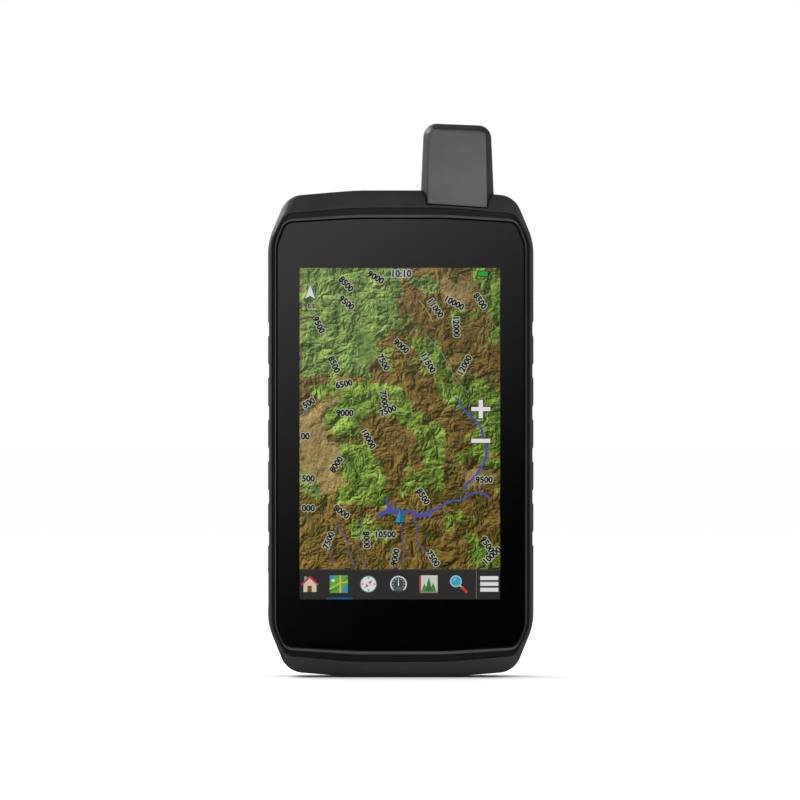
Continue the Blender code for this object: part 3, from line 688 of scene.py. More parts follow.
def cut_back(housing):
    """The battery bay, the cover's seat, the latch's bore and the windows in the bay's wall."""
    combine(housing, [
        prism("bay", "Y", (BAY_FLOOR_Y, BEYOND_Y), rectangle(-26.8, 26.8, 25.0, 95.2, 2.0, 6)),
        mouthed("seat", "Y", 9.6, BACK_Y, BEYOND_Y, cover_seat, 0.35),
        turned("bore", "Y", (0.0, LATCH_Z), [(2.9, 2.7), (12.0, 2.7)], 32),
        prism("window", "Y", (-3.0, 2.0), rectangle(
            CARD_LOW.x - 2.0, CARD_HIGH.x + 2.0, CARD_LOW.z - 2.5, CARD_HIGH.z + 8.5, 1.0, 4
        )),
        prism("terminals", "Y", (1.4, 9.0), rectangle(-9.0, 9.0, 94.2, 97.6)),
    ])


def port_mouth(cap_low, cap_high):
    """The outline of a port's pocket as a function of its chamfer."""
    return lambda grow: framed(cap_low, cap_high, "yz", GAP + grow, 2.4 + grow, 10)


def cut_sides(housing):
    """Grip pockets and grooves, the two ports on the left and the key's hole on the right."""
    cutters = []
    for side in (-1.0, 1.0):
        floor, surface, out = (side * x for x in (GRIP_POCKET_X, CASE_HIGH.x, BEYOND_X))
        cutters.append(mouthed("grip_pocket", "X", floor, surface, out, grip_pocket, 0.25))
    combine(housing, cutters)
    for side in (-1.0, 1.0):
        combine(housing, groove_cutters(side))
    cutters = []
    for low, high, reach in ((USB_LOW, USB_HIGH, 4.2), (JACK_LOW, JACK_HIGH, 3.0)):
        y = middle(low.y, high.y)
        z = middle(low.z, high.z)
        cutters.append(mouthed("port", "X", PORT_FLOOR_X, CASE_LOW.x, -BEYOND_X, port_mouth(low, high), 0.3))
        neck = rectangle(y - 2.9, y + 2.9, z - 5.6, z + 5.6, 2.0, 8)
        throat = rectangle(y - 2.2, y + 2.2, z - reach, z + reach, 1.0, 8)
        throat_x = PORT_FLOOR_X + 1.2
        cutters.append(loft("neck", "X", [
            (PORT_FLOOR_X - 0.4, neck), (throat_x, neck), (throat_x, throat), (-INNER_WALL_X, throat)
        ]))
    combine(housing, cutters)

    def key_hole(grow):
        return framed(KEY_LOW, KEY_HIGH, "yz", grow - 0.7, 2.9 + grow, 10)

    combine(housing, [
        mouthed("key_hole", "X", INNER_WALL_X, CASE_HIGH.x, BEYOND_X, key_hole, 0.3),
        prism("key_step", "X", (INNER_WALL_X, 42.0), key_hole(1.1)),
    ])


def screw_places():
    """The (x, z) places of the case screws."""
    boxes = [box(f"case_screw_{number}") for number in range(1, 7)]
    return [(middle(low.x, high.x), middle(low.z, high.z)) for low, high in boxes]


def cut_details(housing):
    """Screw holes, speaker slots and the vent's bore."""
    cutters = []
    for spot in screw_places():
        cutters.append(turned("screw_hole", "Y", spot, [
            (-3.0, 1.3), (10.6, 1.3), (10.6, 2.4), (BACK_Y - 0.3, 2.4), (BACK_Y + 0.02, 2.7), (BEYOND_Y, 2.7)
        ], 32))
    x = middle(SPEAKER_LOW.x, SPEAKER_HIGH.x)
    z = middle(SPEAKER_LOW.z, SPEAKER_HIGH.z)
    for rise in (-3.0, 0.0, 3.0):
        def slot(grow, rise=rise):
            across = 5.0 + grow
            up = 0.6 + grow
            return rectangle(x - across, x + across, z + rise - up, z + rise + up, 0.55 + grow, 6)

        cutters.append(mouthed("slot", "Y", 9.0, BACK_Y, BEYOND_Y, slot, 0.25))
    spot = (middle(VENT_LOW.x, VENT_HIGH.x), middle(VENT_LOW.z, VENT_HIGH.z))
    cutters.append(turned("vent", "Y", spot, [
        (9.0, 1.2), (11.6, 1.2), (11.6, 3.0), (BACK_Y - 0.25, 3.0), (BACK_Y + 0.02, 3.25), (BEYOND_Y, 3.25)
    ], 40))
    combine(housing, [joined(cutters)])


def add_spine(housing):
    """The mounting pad on the back, undercut along both sides, with its catch and contact pocket."""
    low_z, high_z = 110.0, 150.0

    def pad(shrink):
        return rectangle(-12.5 + shrink, 12.5 - shrink, low_z + shrink, high_z - shrink, 3.0 - shrink, 10)
    sections = [(BACK_Y - 1.0, pad(0.0)), (SPINE_Y - 0.7, pad(0.0))]
    sections += rolled_edge(SPINE_Y - 0.7, 0.7, pad)
    combine(housing, [loft("spine", "Y", sections)], "UNION")
    cutters = [
        prism("undercut", "Z", (low_z - 2.0, high_z + 2.0), rectangle(
            *sorted((side * 11.0, side * 14.0)), BACK_Y + 0.4, BACK_Y + 1.9
        ))
        for side in (-1.0, 1.0)
    ]

    def catch(grow):
        return rectangle(-3.5 - grow, 3.5 + grow, high_z - 5.5 - grow, high_z - 2.5 + grow, 0.8 + grow, 6)

    def pocket(grow):
        return framed(BLOCK_LOW, BLOCK_HIGH, "xz", GAP + grow, 1.0 + grow, 8)

    cutters.append(mouthed("catch", "Y", SPINE_Y - 1.6, SPINE_Y, BEYOND_Y, catch, 0.25))
    cutters.append(mouthed("pocket", "Y", 14.6, SPINE_Y, BEYOND_Y, pocket, 0.2))
    combine(housing, cutters)


def make_housing(surface):
    housing = loft("housing_shell", "Y", outer_sections())
    add_spine(housing)
    cut_details(housing)
    cut_front(housing)
    cut_back(housing)
    cut_sides(housing)
    combine(housing, [loft("notch", "Y", antenna_sections(GAP))])
    combine(housing, [turned("lead_hole", "Z", (18.8, -2.5), [(148.0, 1.2), (161.0, 1.2)], 16)])
    settle(even_normals(housing), surface, "case", "case_plastic", "rear_housing")


def make_grips(surface):
    for name, side in (("left", -1.0), ("right", 1.0)):
        grip = loft(f"{name}_grip_pad", "Y", outer_sections())
        near, far = sorted((side * GRIP_BACK_X, side * BEYOND_X))
        block = prism("block", "X", (near, far), rectangle(
            GRIP_LOW.y, GRIP_HIGH.y, GRIP_LOW.z, GRIP_HIGH.z, 5.0, 12
        ))
        combine(grip, [block], "INTERSECT")
        combine(grip, groove_cutters(side))
        settle(even_normals(grip), surface, "case", "grip_rubber", f"{name}_grip")


# ---------------------------------------------------------------- antenna
ANTENNA_STEPS = 12
ANTENNA_FRONT_Y = -13.2
ANTENNA_FULL_Y = 3.0


def antenna_silhouette(grow):
    """The antenna's front view: sides that lean in, and a top that falls towards the right."""
    top = ANTENNA_HIGH.z
    return rounded([
        (6.5 - grow, 156.65 - grow, 0.0, 0),
        (31.1 + grow, 155.2 - grow, 0.0, 0),
        (29.9 + grow, top - 0.7 + grow, 4.4 + 0.6 * grow, ANTENNA_STEPS),
        (7.7 - grow, top + 0.2 + grow, 4.4 + 0.6 * grow, ANTENNA_STEPS),
    ])


def antenna_front(shrink):
    """The outline of the antenna's flat front, whose sides lean in less than the silhouette's."""
    return rounded([
        (8.85 + shrink, 156.9 + shrink, 0.0, 0),
        (28.55 - shrink, 155.6 + shrink, 0.0, 0),
        (28.15 - shrink, 180.85 - shrink, 1.9, ANTENNA_STEPS),
        (9.4 + shrink, 181.6 - shrink, 1.9, ANTENNA_STEPS),
    ])


def antenna_back():
    return rounded([
        (10.0, 159.0, 0.0, 0),
        (27.8, 158.2, 0.0, 0),
        (26.8, 179.9, 2.6, ANTENNA_STEPS),
        (10.8, 180.6, 2.6, ANTENNA_STEPS),
    ])


def antenna_sections(grow=0.0):
    """Sections from the narrow front to the full width and round to the back."""
    full = antenna_silhouette(grow)
    front = antenna_front(-0.06 - grow)
    back = antenna_back()
    sections = [(ANTENNA_FRONT_Y - 9.0 * grow, front), (ANTENNA_FRONT_Y - grow, front)]
    for step in range(1, 10):
        depth = ANTENNA_FRONT_Y + 7.7 * step / 9.0
        sections.append((depth, blend(full, front, (1.0 - step / 9.0) ** 1.5)))
    sections.append((ANTENNA_FULL_Y, full))
    for step in range(1, 7):
        angle = 0.5 * math.pi * step / 6.0
        depth = ANTENNA_FULL_Y + (4.6 + grow) * math.sin(angle)
        sections.append((depth, blend(full, back, 1.0 - math.cos(angle))))
    return sections


def make_antenna(shell_surface, face_surface):
    shell = loft("antenna_shell", "Y", antenna_sections()[1:], 40.0)
    narrow = rectangle(11.6, 26.0, 150.0, 178.8, 3.0, 6)
    wide = rectangle(9.6, 28.0, 150.0, 181.0, 3.0, 6)
    hollow = loft("hollow", "Y", [(-11.6, narrow), (-6.0, wide), (4.0, wide), (5.6, narrow)])
    combine(shell, [hollow])
    settle(even_normals(shell), shell_surface, "case", "case_plastic", "antenna_housing")
    front = FACE_LOW.y
    profile = (
        (ANTENNA_FRONT_Y - 0.02, 0.1), (FACE_HIGH.y, 0.1), (FACE_HIGH.y, 0.0), (front + 0.55, 0.0),
        (front + 0.42, 0.04), (front + 0.10, 0.50), (front + 0.02, 0.62), (front, 0.75),
    )
    face = loft("antenna_face_plate", "Y", [(y, antenna_front(shrink)) for y, shrink in profile], 50.0)
    settle(even_normals(face), face_surface, "case", "antenna_grey", "antenna_face")


# ---------------------------------------------------------------- battery cover, latch and ring
def make_cover(surface):
    low, high = COVER_LOW, COVER_HIGH
    plain_y = high.y - 1.1

    def edge(shrink):
        return framed(low, high, "xz", -shrink, 6.0 - shrink, 14)

    def panel(shrink):
        return rectangle(
            low.x + 4.0 + shrink, high.x - 4.0 - shrink, 38.0 + shrink, high.z - 4.0 - shrink,
            8.0 - 0.6 * shrink, 14
        )
    sections = [(low.y, edge(0.0)), (plain_y - 0.5, edge(0.0))]
    sections += rolled_edge(plain_y - 0.5, 0.5, edge)
    flank = (
        (0.0, 0.0), (0.06, 0.5), (0.25, 0.9), (0.55, 1.3),
        (0.8, 1.75), (0.98, 2.3), (1.08, 3.0), (1.1, 3.8),
    )
    sections += [(plain_y + rise, panel(shrink)) for rise, shrink in flank]
    cover = loft("battery_door", "Y", sections)
    cutters = [turned("seat", "Y", (0.0, LATCH_Z), [
        (9.0, 2.7), (11.9, 2.7), (11.9, 5.6), (plain_y - 0.25, 5.6), (plain_y + 0.02, 5.85), (BEYOND_Y, 5.85)
    ], 64)]
    for number in range(5):
        z = 84.0 + 2.6 * number

        def rib(grow, z=z):
            return rectangle(-16.0 - grow, 16.0 + grow, z - 0.5 - grow, z + 0.5 + grow, 0.45 + grow, 6)
        cutters.append(mouthed("rib", "Y", high.y - 0.5, high.y, BEYOND_Y, rib, 0.2))
    combine(cover, cutters)
    settle(even_normals(cover), surface, "battery_cover", "case_plastic", "battery_cover")


def swept(name, path, radius, sides=24):
    """A round wire along a closed path of points at one depth."""
    count = len(path)
    points = []
    for index, point in enumerate(path):
        ahead = (Vector(path[(index + 1) % count]) - Vector(path[index - 1])).normalized()
        across = ahead.cross(Vector((0.0, 1.0, 0.0)))
        for side in range(sides):
            angle = 2.0 * math.pi * side / sides
            offset = across * math.cos(angle) + Vector((0.0, math.sin(angle), 0.0))
            points.append(tuple(Vector(point) + offset * radius))
    faces = []
    for index in range(count):
        faces += side_faces(sides, index, (index + 1) % count)
    return mesh_object(name, points, faces, 60.0)


def make_latch(surface):
    reach = 0.5 * (STUD_HIGH.x - STUD_LOW.x)
    top = STUD_HIGH.y
    stud = turned("latch_knob", "Y", (0.0, LATCH_Z), [
        (STUD_LOW.y, 1.8), (4.2, 2.4), (12.2, 2.4), (12.2, reach - 0.15), (12.35, reach), (top - 0.8, reach),
        (top - 0.5, reach - 0.08), (top - 0.2, reach - 0.3), (top - 0.05, reach - 0.6), (top, reach - 0.9),
        (top, 3.4), (top - 0.12, 3.2), (top - 0.12, 2.9), (top, 2.7)
    ], 72)
    eye = turned("eye", "X", (RING_Y, LATCH_Z), [
        (-8.0, RING_WIRE + 0.6), (-reach + 0.1, RING_WIRE + 0.5), (-reach + 0.5, RING_WIRE + GAP),
        (reach - 0.5, RING_WIRE + GAP), (reach - 0.1, RING_WIRE + 0.5), (8.0, RING_WIRE + 0.6)
    ], 32)
    combine(stud, [eye])
    settle(even_normals(stud), surface, "latch", "steel", "latch_stud")
    path = [(x, RING_Y, z) for x, z in rounded([
        (-7.6, LATCH_Z, 1.6, 8),
        (7.6, LATCH_Z, 1.6, 8),
        (8.2, LATCH_Z + 14.6, 7.2, 20),
        (-8.2, LATCH_Z + 14.6, 7.2, 20),
    ])]
    settle(swept("lift_ring", path, RING_WIRE), surface, "d_ring", "steel", "d_ring")


# ---------------------------------------------------------------- side fittings
def make_port_cap(name, node, surface):
    """A flush rubber cap with a thumb notch at its upper end and a plug behind, on its own body."""
    low, high = box(node)
    y = middle(low.y, high.y)

    def outline(shrink):
        return framed(low, high, "yz", -shrink, 2.1 - 0.8 * shrink, 10)

    sections = [(low.x, outline(0.75))]
    for step in range(1, 6):
        angle = 0.5 * math.pi * step / 5.0
        sections.append((low.x + 0.4 * (1.0 - math.cos(angle)), outline(0.4 * (1.0 - math.sin(angle)))))
    sections += [
        (low.x + 1.0, outline(0.0)),
        (low.x + 1.0, outline(1.2)),
        (low.x + 1.5, outline(1.05)),
        (high.x - 0.3, outline(1.25)),
        (high.x, outline(1.5)),
    ]
    cap = loft(name, "X", sections)
    notch = turned("notch", "X", (y, high.z - 1.3), [
        (low.x + 0.35, 0.7), (low.x - 0.02, 1.5), (low.x - 1.0, 1.5)
    ], 24)
    combine(cap, [notch])
    settle(even_normals(cap), surface, node, "cap_rubber", node)


def make_power_key(surface):
    low, high = KEY_LOW, KEY_HIGH

    def outline(shrink):
        return framed(low, high, "yz", -1.0 - shrink, 2.6 - 0.8 * shrink, 12)

    sections = [(low.x, outline(-1.0)), (low.x + 0.7, outline(-1.0)), (low.x + 0.7, outline(0.0))]
    sections += rolled_edge(high.x - 0.6, 0.6, outline, 0)
    sections.append((high.x - 0.12, outline(1.5)))
    key = loft("power_key", "X", sections)
    mark = (middle(low.y, high.y), middle(low.z, high.z))
    profile = ((-0.3, 1.0), (1.0, 1.0), (1.0, 0.65), (-0.3, 0.65))
    ring = ring_loft("mark", "X", [(high.x + rise, circle(*mark, radius, 32)) for rise, radius in profile])
    combine(key, [ring])
    settle(even_normals(key), surface, "power_button", "cap_rubber", "power_button")


def star(centre, radius, points=6, steps=48):
    """A six-lobed socket outline."""
    outline = []
    for step in range(steps):
        angle = 2.0 * math.pi * step / steps
        reach = radius * (1.0 + 0.13 * math.cos(points * angle))
        outline.append((centre[0] + reach * math.cos(angle), centre[1] + reach * math.sin(angle)))
    return outline


def make_case_screws(surface):
    for number, spot in enumerate(screw_places(), 1):
        low, high = box(f"case_screw_{number}")
        body = (
            (low.y, 0.6), (low.y + 0.6, 1.0), (10.9, 1.0), (10.9, 1.85), (11.0, 2.0), (high.y - 0.5, 2.0),
            (high.y - 0.25, 1.93), (high.y - 0.08, 1.78), (high.y, 1.5)
        )
        socket = ((high.y, 1.05), (high.y - 0.1, 0.95), (high.y - 0.9, 0.9))
        sections = [(height, circle(*spot, radius, 48)) for height, radius in body]
        sections += [(height, star(spot, radius)) for height, radius in socket]
        screw = loft(f"case_screw_head_{number}", "Y", sections)
        settle(screw, surface, "case", "steel", f"case_screw_{number}")


# ---------------------------------------------------------------- the lit picture
LAYER = 0.03


def spread(outline, centre, scale=1.0, turn=0.0):
    """An outline scaled, turned by degrees and moved to a centre."""
    c, s = math.cos(math.radians(turn)), math.sin(math.radians(turn))
    return [
        (centre[0] + scale * (u * c - v * s), centre[1] + scale * (u * s + v * c))
        for u, v in outline
    ]


def stroke(path, widths):
    """The outline of a line of changing width along a path."""
    left, right = [], []
    for index, (u, v) in enumerate(path):
        before = Vector(path[max(index - 1, 0)])
        ahead = (Vector(path[min(index + 1, len(path) - 1)]) - before).normalized()
        half = 0.5 * (widths[index] if isinstance(widths, (list, tuple)) else widths)
        left.append((u - ahead.y * half, v + ahead.x * half))
        right.append((u + ahead.y * half, v - ahead.x * half))
    return left + right[::-1]


def smooth_path(path, steps=5):
    """A Catmull-Rom curve through the points of a path."""
    points = [Vector(p) for p in path]
    ends = [points[0]] + points + [points[-1]]
    curve = []
    for a, b, c, d in zip(ends, ends[1:], ends[2:], ends[3:]):
        for step in range(steps):
            t = step / steps
            curve.append(tuple(0.5 * (
                2.0 * b + (c - a) * t + (2.0 * a - 5.0 * b + 4.0 * c - d) * t * t
                + (3.0 * b - a - 3.0 * c + d) * t ** 3
            )))
    curve.append(tuple(points[-1]))
    return curve


class Picture:
    """Flat coloured shapes of the screen picture, gathered into one thin relief."""

    def __init__(self):
        self.points = []
        self.faces = []
        self.tones = []

    def polygon(self, outline, code, level):
        start = len(self.points)
        self.points += [(u, PICTURE_Y - LAYER * level, v) for u, v in outline]
        self.faces.append(tuple(range(start, len(self.points))))
        self.tones.append(colour(code))

    def block(self, low_u, high_u, low_v, high_v, code, level=1, centre=(0.0, 0.0)):
        self.polygon(spread(rectangle(low_u, high_u, low_v, high_v), centre), code, level)

    def disc(self, centre, radius, code, level):
        self.polygon(circle(*centre, radius, 40), code, level)

    def line(self, path, widths, code, level):
        self.polygon(stroke(path, widths), code, level)

    def words(self, text, centre, size, turn, code, level, swell):
        """Digits made of filled outlines, swollen by a little to thicken them or to ring them."""
        curve = bpy.data.curves.new("digits", "FONT")
        curve.body = text
        curve.size = size
        curve.align_x = "CENTER"
        curve.align_y = "CENTER"
        curve.offset = swell
        curve.resolution_u = 3
        letters = link("digits", curve)
        graph = bpy.context.evaluated_depsgraph_get()
        mesh = bpy.data.meshes.new_from_object(letters.evaluated_get(graph))
        start = len(self.points)
        flat = spread([(vertex.co.x, vertex.co.y) for vertex in mesh.vertices], centre, 1.0, turn)
        self.points += [(u, PICTURE_Y - LAYER * level, v) for u, v in flat]
        for face in mesh.polygons:
            self.faces.append(tuple(start + index for index in face.vertices))
            self.tones.append(colour(code))
        bpy.data.objects.remove(letters, do_unlink=True)
        bpy.data.curves.remove(curve)
        bpy.data.meshes.remove(mesh)

    def label(self, text, centre, size, turn=0.0, ink="0c0e10", halo="a9ad9c"):
        """Dark digits with a pale ring round them."""
        self.words(text, centre, size, turn, halo, 3, 0.125 * size)
        self.words(text, centre, size, turn, ink, 4, 0.040 * size)

    def finish(self, name, surface):
        mesh = bpy.data.meshes.new(name)
        mesh.from_pydata([Vector(point) * MM for point in self.points], [], self.faces)
        tone = mesh.attributes.new("tone", "FLOAT_COLOR", "FACE")
        for entry, value in zip(tone.data, self.tones):
            entry.color = (*value, 1.0)
        shape = bmesh.new()
        shape.from_mesh(mesh)
        for face in shape.faces:
            face.normal_update()
            if face.normal.y > 0.0:
                face.normal_flip()
        shape.to_mesh(mesh)
        shape.free()
        picture = link(name, mesh)
        thicken(picture, 0.6 * LAYER)
        settle(picture, surface, "case", "display")


# Generic contour numbers: the digits, their middle and their turn in degrees.
CONTOUR_NUMBERS = (
    ("8500", -18.1, 130.2, -47), ("9500", -18.0, 124.0, -40), ("9500", -27.2, 116.7, -64),
    ("8500", -22.1, 103.6, -66), ("7500", -5.8, 104.3, -62), ("6500", -18.8, 97.1, 12),
    ("9000", -18.5, 87.5, 0), ("10000", 17.6, 124.0, -28), ("11000", 11.4, 122.3, -55),
    ("12000", 18.3, 116.2, -88), ("11500", 9.0, 104.2, -60), ("12000", 21.2, 103.3, 62),
    ("7000", -5.6, 92.1, -80), ("9000", -8.3, 132.4, -30), ("10000", -10.8, 79.0, -62),
    ("8000", -21.3, 70.5, 58), ("8500", 7.3, 59.9, -58), ("8000", -19.7, 54.8, -36),
    ("9500", 28.6, 44.0, -56), ("500", -30.6, 65.8, 0), ("00", -31.6, 79.8, 0), ("000", -30.6, 56.0, 0),
    ("10500", -5.2, 47.3, 0), ("7500", -4.2, 88.3, 22), ("500", -30.4, 90.8, 30),
    ("10000", 30.2, 40.3, 42), ("9000", 0.1, 109.6, -40), ("8500", 26.2, 124.6, -56),
    ("9500", 27.6, 65.4, 0), ("7500", -23.8, 45.4, 68), ("8000", -11.4, 45.6, -88),
    ("9000", -1.8, 39.8, 78), ("7500", 10.6, 39.4, -56),
)

RIVER = "4b4da1"
CREEK = "55507c"
# A colour, then widths spread evenly along the line, then its points.
RIVERS = (
    (RIVER, (0.55, 0.75, 0.8, 0.6), (
        (18.1, 92.8), (21.9, 87.6), (25.2, 84.7), (26.6, 82.4), (27.4, 79.5), (28.3, 76.2), (28.1, 72.8),
        (26.6, 69.5), (24.3, 66.2), (21.6, 63.8), (20.7, 61.2)
    )),
    (RIVER, (0.7, 0.6, 0.6, 0.7), (
        (12.3, 55.9), (16.1, 58.3), (20.7, 59.0), (22.8, 60.7), (26.6, 61.2), (29.5, 59.5)
    )),
    (RIVER, (0.9, 1.9, 0.8, 1.5, 0.7), (
        (-7.7, 53.3), (-4.4, 55.2), (-1.5, 55.0), (1.3, 54.6), (3.3, 55.2), (5.2, 53.9), (9.0, 54.0),
        (9.9, 55.0), (12.3, 55.9)
    )),
    (RIVER, (0.4, 0.9), ((-4.8, 59.5), (-4.4, 57.5), (-3.9, 55.7))),
    (RIVER, (0.3, 0.8), ((-2.0, 58.3), (-3.4, 55.7))),
    (CREEK, (0.6, 0.4), ((3.5, 53.8), (5.2, 50.5), (5.4, 46.2), (6.1, 43.8), (8.5, 41.4), (10.9, 36.4))),
    (CREEK, (0.4, 0.35), ((0.1, 50.7), (0.9, 41.4), (-0.8, 36.4))),
    (CREEK, (0.35, 0.4), ((-21.6, 51.4), (-18.5, 46.7), (-16.8, 40.5), (-14.9, 36.2))),
    (CREEK, (0.3, 0.3), ((-21.1, 50.0), (-23.5, 43.3), (-22.5, 36.4))),
    (CREEK, (0.3, 0.3), ((-12.4, 52.5), (-13.9, 44.3), (-12.0, 36.4))),
    (RIVER, (0.35, 0.4), ((-32.3, 86.7), (-29.5, 89.3))),
    ("6a7f62", (0.35, 0.3), ((8.4, 113.4), (13.8, 107.1), (18.1, 99.1), (22.3, 94.3))),
    ("8a6a48", (0.35, 0.35), ((19.5, 133.3), (22.1, 131.4), (26.6, 124.3), (28.3, 120.9), (32.6, 114.3))),
    ("8c8c5e", (0.3, 0.3), ((5.9, 125.0), (8.6, 121.7), (10.5, 117.9))),
)


def draw_map(picture):
    for code, widths, path in RIVERS:
        curve = smooth_path(path)
        last = len(widths) - 1
        spans = []
        for index in range(len(curve)):
            place_along = last * index / (len(curve) - 1)
            lower = min(int(place_along), last - 1)
            part = place_along - lower
            ripple = 1.0 + 0.22 * math.sin(2.7 * index)
            spans.append(ripple * (widths[lower] * (1.0 - part) + widths[lower + 1] * part))
        picture.line(curve, spans, code, 1)
    for text, u, v, turn in CONTOUR_NUMBERS:
        picture.label(text, (u, v), 2.85, turn)
    picture.label("10:10", (0.1, 133.6), 3.1, 0.0, "20242c", "b9bdb8")


def draw_marks(picture):
    """The battery gauge, north arrow, scale bar, position arrow and zoom signs."""
    gauge = (27.3, 133.7)
    picture.block(-1.95, 1.95, -1.0, 1.0, "20382a", 3, gauge)
    picture.block(1.95, 2.4, -0.5, 0.5, "20382a", 3, gauge)
    picture.block(-1.7, 1.45, -0.75, 0.75, "2c9c38", 4, gauge)
    arrow = [(0.0, 2.4), (-1.65, -2.3), (0.0, -1.35), (1.65, -2.3)]
    picture.polygon(spread(arrow, (-30.0, 127.7), 1.22), "30343a", 3)
    picture.polygon(spread(arrow, (-30.0, 127.7), 1.0), "d4d6d8", 4)
    for bar in ((-3.5, 3.5, -0.12, 0.14), (-3.5, -3.25, -0.1, 0.6), (3.25, 3.5, -0.1, 0.6)):
        picture.block(*bar, "20252c", 4, (-29.6, 121.4))
    picture.label("0.5", (-29.6, 122.9), 2.0)
    pointer = [(0.0, 2.4), (-1.6, -2.2), (1.6, -2.2)]
    picture.polygon(spread(pointer, (-0.3, 53.6), 1.2), "0f2c3c", 3)
    picture.polygon([(-0.3, 56.0), (-1.9, 51.4), (-0.3, 51.4)], "2b93ad", 4)
    picture.polygon([(-0.3, 56.0), (-0.3, 51.4), (1.3, 51.4)], "1b6f8c", 4)
    plus, minus = (26.5, 88.9), (26.5, 78.4)
    for grow, code, level in ((0.28, "343832", 3), (0.0, "dadbd8", 4)):
        for sign in (plus, minus):
            picture.block(-3.15 - grow, 3.15 + grow, -0.68 - grow, 0.68 + grow, code, level, sign)
        picture.block(-0.72 - grow, 0.72 + grow, 0.68 + grow, 3.05 + grow, code, level, plus)
        picture.block(-0.72 - grow, 0.72 + grow, -3.05 - grow, -0.68 - grow, code, level, plus)


def draw_toolbar(picture):
    low_u, high_u = PICTURE_LOW[0], PICTURE_HIGH[0]
    low_v = PICTURE_LOW[1]
    mid = 30.95
    picture.block(low_u, high_u, low_v, TOOLBAR_TOP, "2d2c2b", 1)
    picture.block(low_u, high_u, TOOLBAR_TOP - 0.35, TOOLBAR_TOP, "3a3a36", 2)
    picture.block(24.9, 25.1, low_v + 0.3, TOOLBAR_TOP - 0.4, "6a6a68", 2)
    picture.block(-24.7, -15.8, low_v + 0.05, low_v + 0.55, "1d5a82", 2)
    for number in range(3):
        picture.block(26.3, 32.3, 28.45 + 1.92 * number, 29.75 + 1.92 * number, "d6d6d4", 2)
    signs = (
        (draw_house, -30.0), (draw_map_tile, -20.5), (draw_compass, -10.7),
        (draw_gauge, -0.75), (draw_trees, 9.2), (draw_lens, 19.2),
    )
    for draw, u in signs:
        draw(picture, (u, mid))


def draw_house(picture, centre):
    picture.block(-1.95, -1.05, 1.2, 2.5, "6f9a98", 2, centre)
    wall = [(-2.2, -2.6), (2.1, -2.6), (2.1, 0.4), (-0.1, 2.2), (-2.2, 0.4)]
    picture.polygon(spread(wall, centre), "c8bda4", 3)
    picture.block(-0.9, 0.55, -2.6, -0.55, "6e4632", 4, centre)
    roof = [(-3.05, 0.0), (-2.6, -0.4), (-0.1, 1.95), (2.35, -0.4), (2.8, 0.0), (-0.1, 2.85)]
    picture.polygon(spread(roof, centre), "b8323c", 5)


def draw_map_tile(picture, centre):
    picture.block(-3.0, 3.0, -2.9, 2.9, "58a042", 2, centre)
    lakes = (
        [(-3.0, 2.9), (-3.0, 1.2), (-1.9, 1.5), (-1.2, 2.9)],
        [(3.0, -2.9), (3.0, 0.4), (1.7, -1.0), (0.9, -2.9)],
    )
    for lake in lakes:
        picture.polygon(spread(lake, centre), "3f84b4", 3)
    picture.block(0.25, 0.75, -2.9, 2.9, "c8b840", 4, centre)
    picture.line(spread([(-3.0, -1.6), (-1.0, -0.4), (0.4, 0.3), (3.0, 0.9)], centre), 0.42, "c8b840", 4)
    picture.line(spread([(-3.0, -2.2), (-0.6, -1.4), (3.0, 2.2)], centre), 0.3, "2f6a2e", 3)
    picture.disc(spread([(-1.9, 1.2)], centre)[0], 0.55, "d8d4b0", 4)


def draw_compass(picture, centre):
    picture.disc(centre, 2.85, "5a6670", 2)
    picture.disc(centre, 2.55, "d4d6d6", 3)
    point = rectangle(-0.25, 0.25, 1.7, 2.3)
    for turn in range(0, 360, 90):
        picture.polygon(spread(point, centre, 1.0, turn), "6c7880", 4)
    needle = [(0.0, 2.1), (-0.5, 0.0), (0.5, 0.0)]
    picture.polygon(spread(needle, centre, 1.0, -45.0), "a8283c", 5)
    picture.polygon(spread(needle, centre, 1.0, 135.0), "a8283c", 5)
    picture.disc(centre, 0.38, "e6e6e6", 6)


def draw_gauge(picture, centre):
    picture.disc(centre, 2.75, "3e444a", 2)
    arc = [(2.55 * math.cos(math.radians(a)), 2.55 * math.sin(math.radians(a))) for a in range(-50, 231, 10)]
    picture.line(spread(arc, centre), 0.42, "d2d4d4", 4)
    for angle in range(-30, 211, 30):
        tick = rectangle(-0.1, 0.1, 1.55, 2.1)
        picture.polygon(spread(tick, centre, 1.0, angle - 90.0), "b8bcbe", 4)
    picture.polygon(spread([(-0.22, -0.5), (0.22, -0.5), (0.06, 1.9), (-0.06, 1.9)], centre), "e0e0e0", 5)
    picture.block(-1.1, 1.1, -2.0, -1.1, "565c60", 4, centre)


def draw_trees(picture, centre):
    picture.block(-3.0, 3.0, -2.9, 2.9, "c4c2ba", 2, centre)
    picture.block(-3.0, -2.45, -2.9, 2.9, "a84a48", 3, centre)
    picture.block(-3.0, 3.0, -2.9, -2.5, "a87a6a", 3, centre)
    pines = ((-1.3, 2.6, "3c8440", 4), (1.5, 2.8, "3c8440", 4), (0.1, 4.6, "2c7038", 5))
    for shift, height, code, level in pines:
        for tier in range(3):
            base = -2.5 + height * 0.24 * tier
            half = 1.25 - 0.28 * tier
            tree = [(shift - half, base), (shift + half, base), (shift, base + 0.56 * height)]
            picture.polygon(spread(tree, centre), code, level + 0.3 * tier)


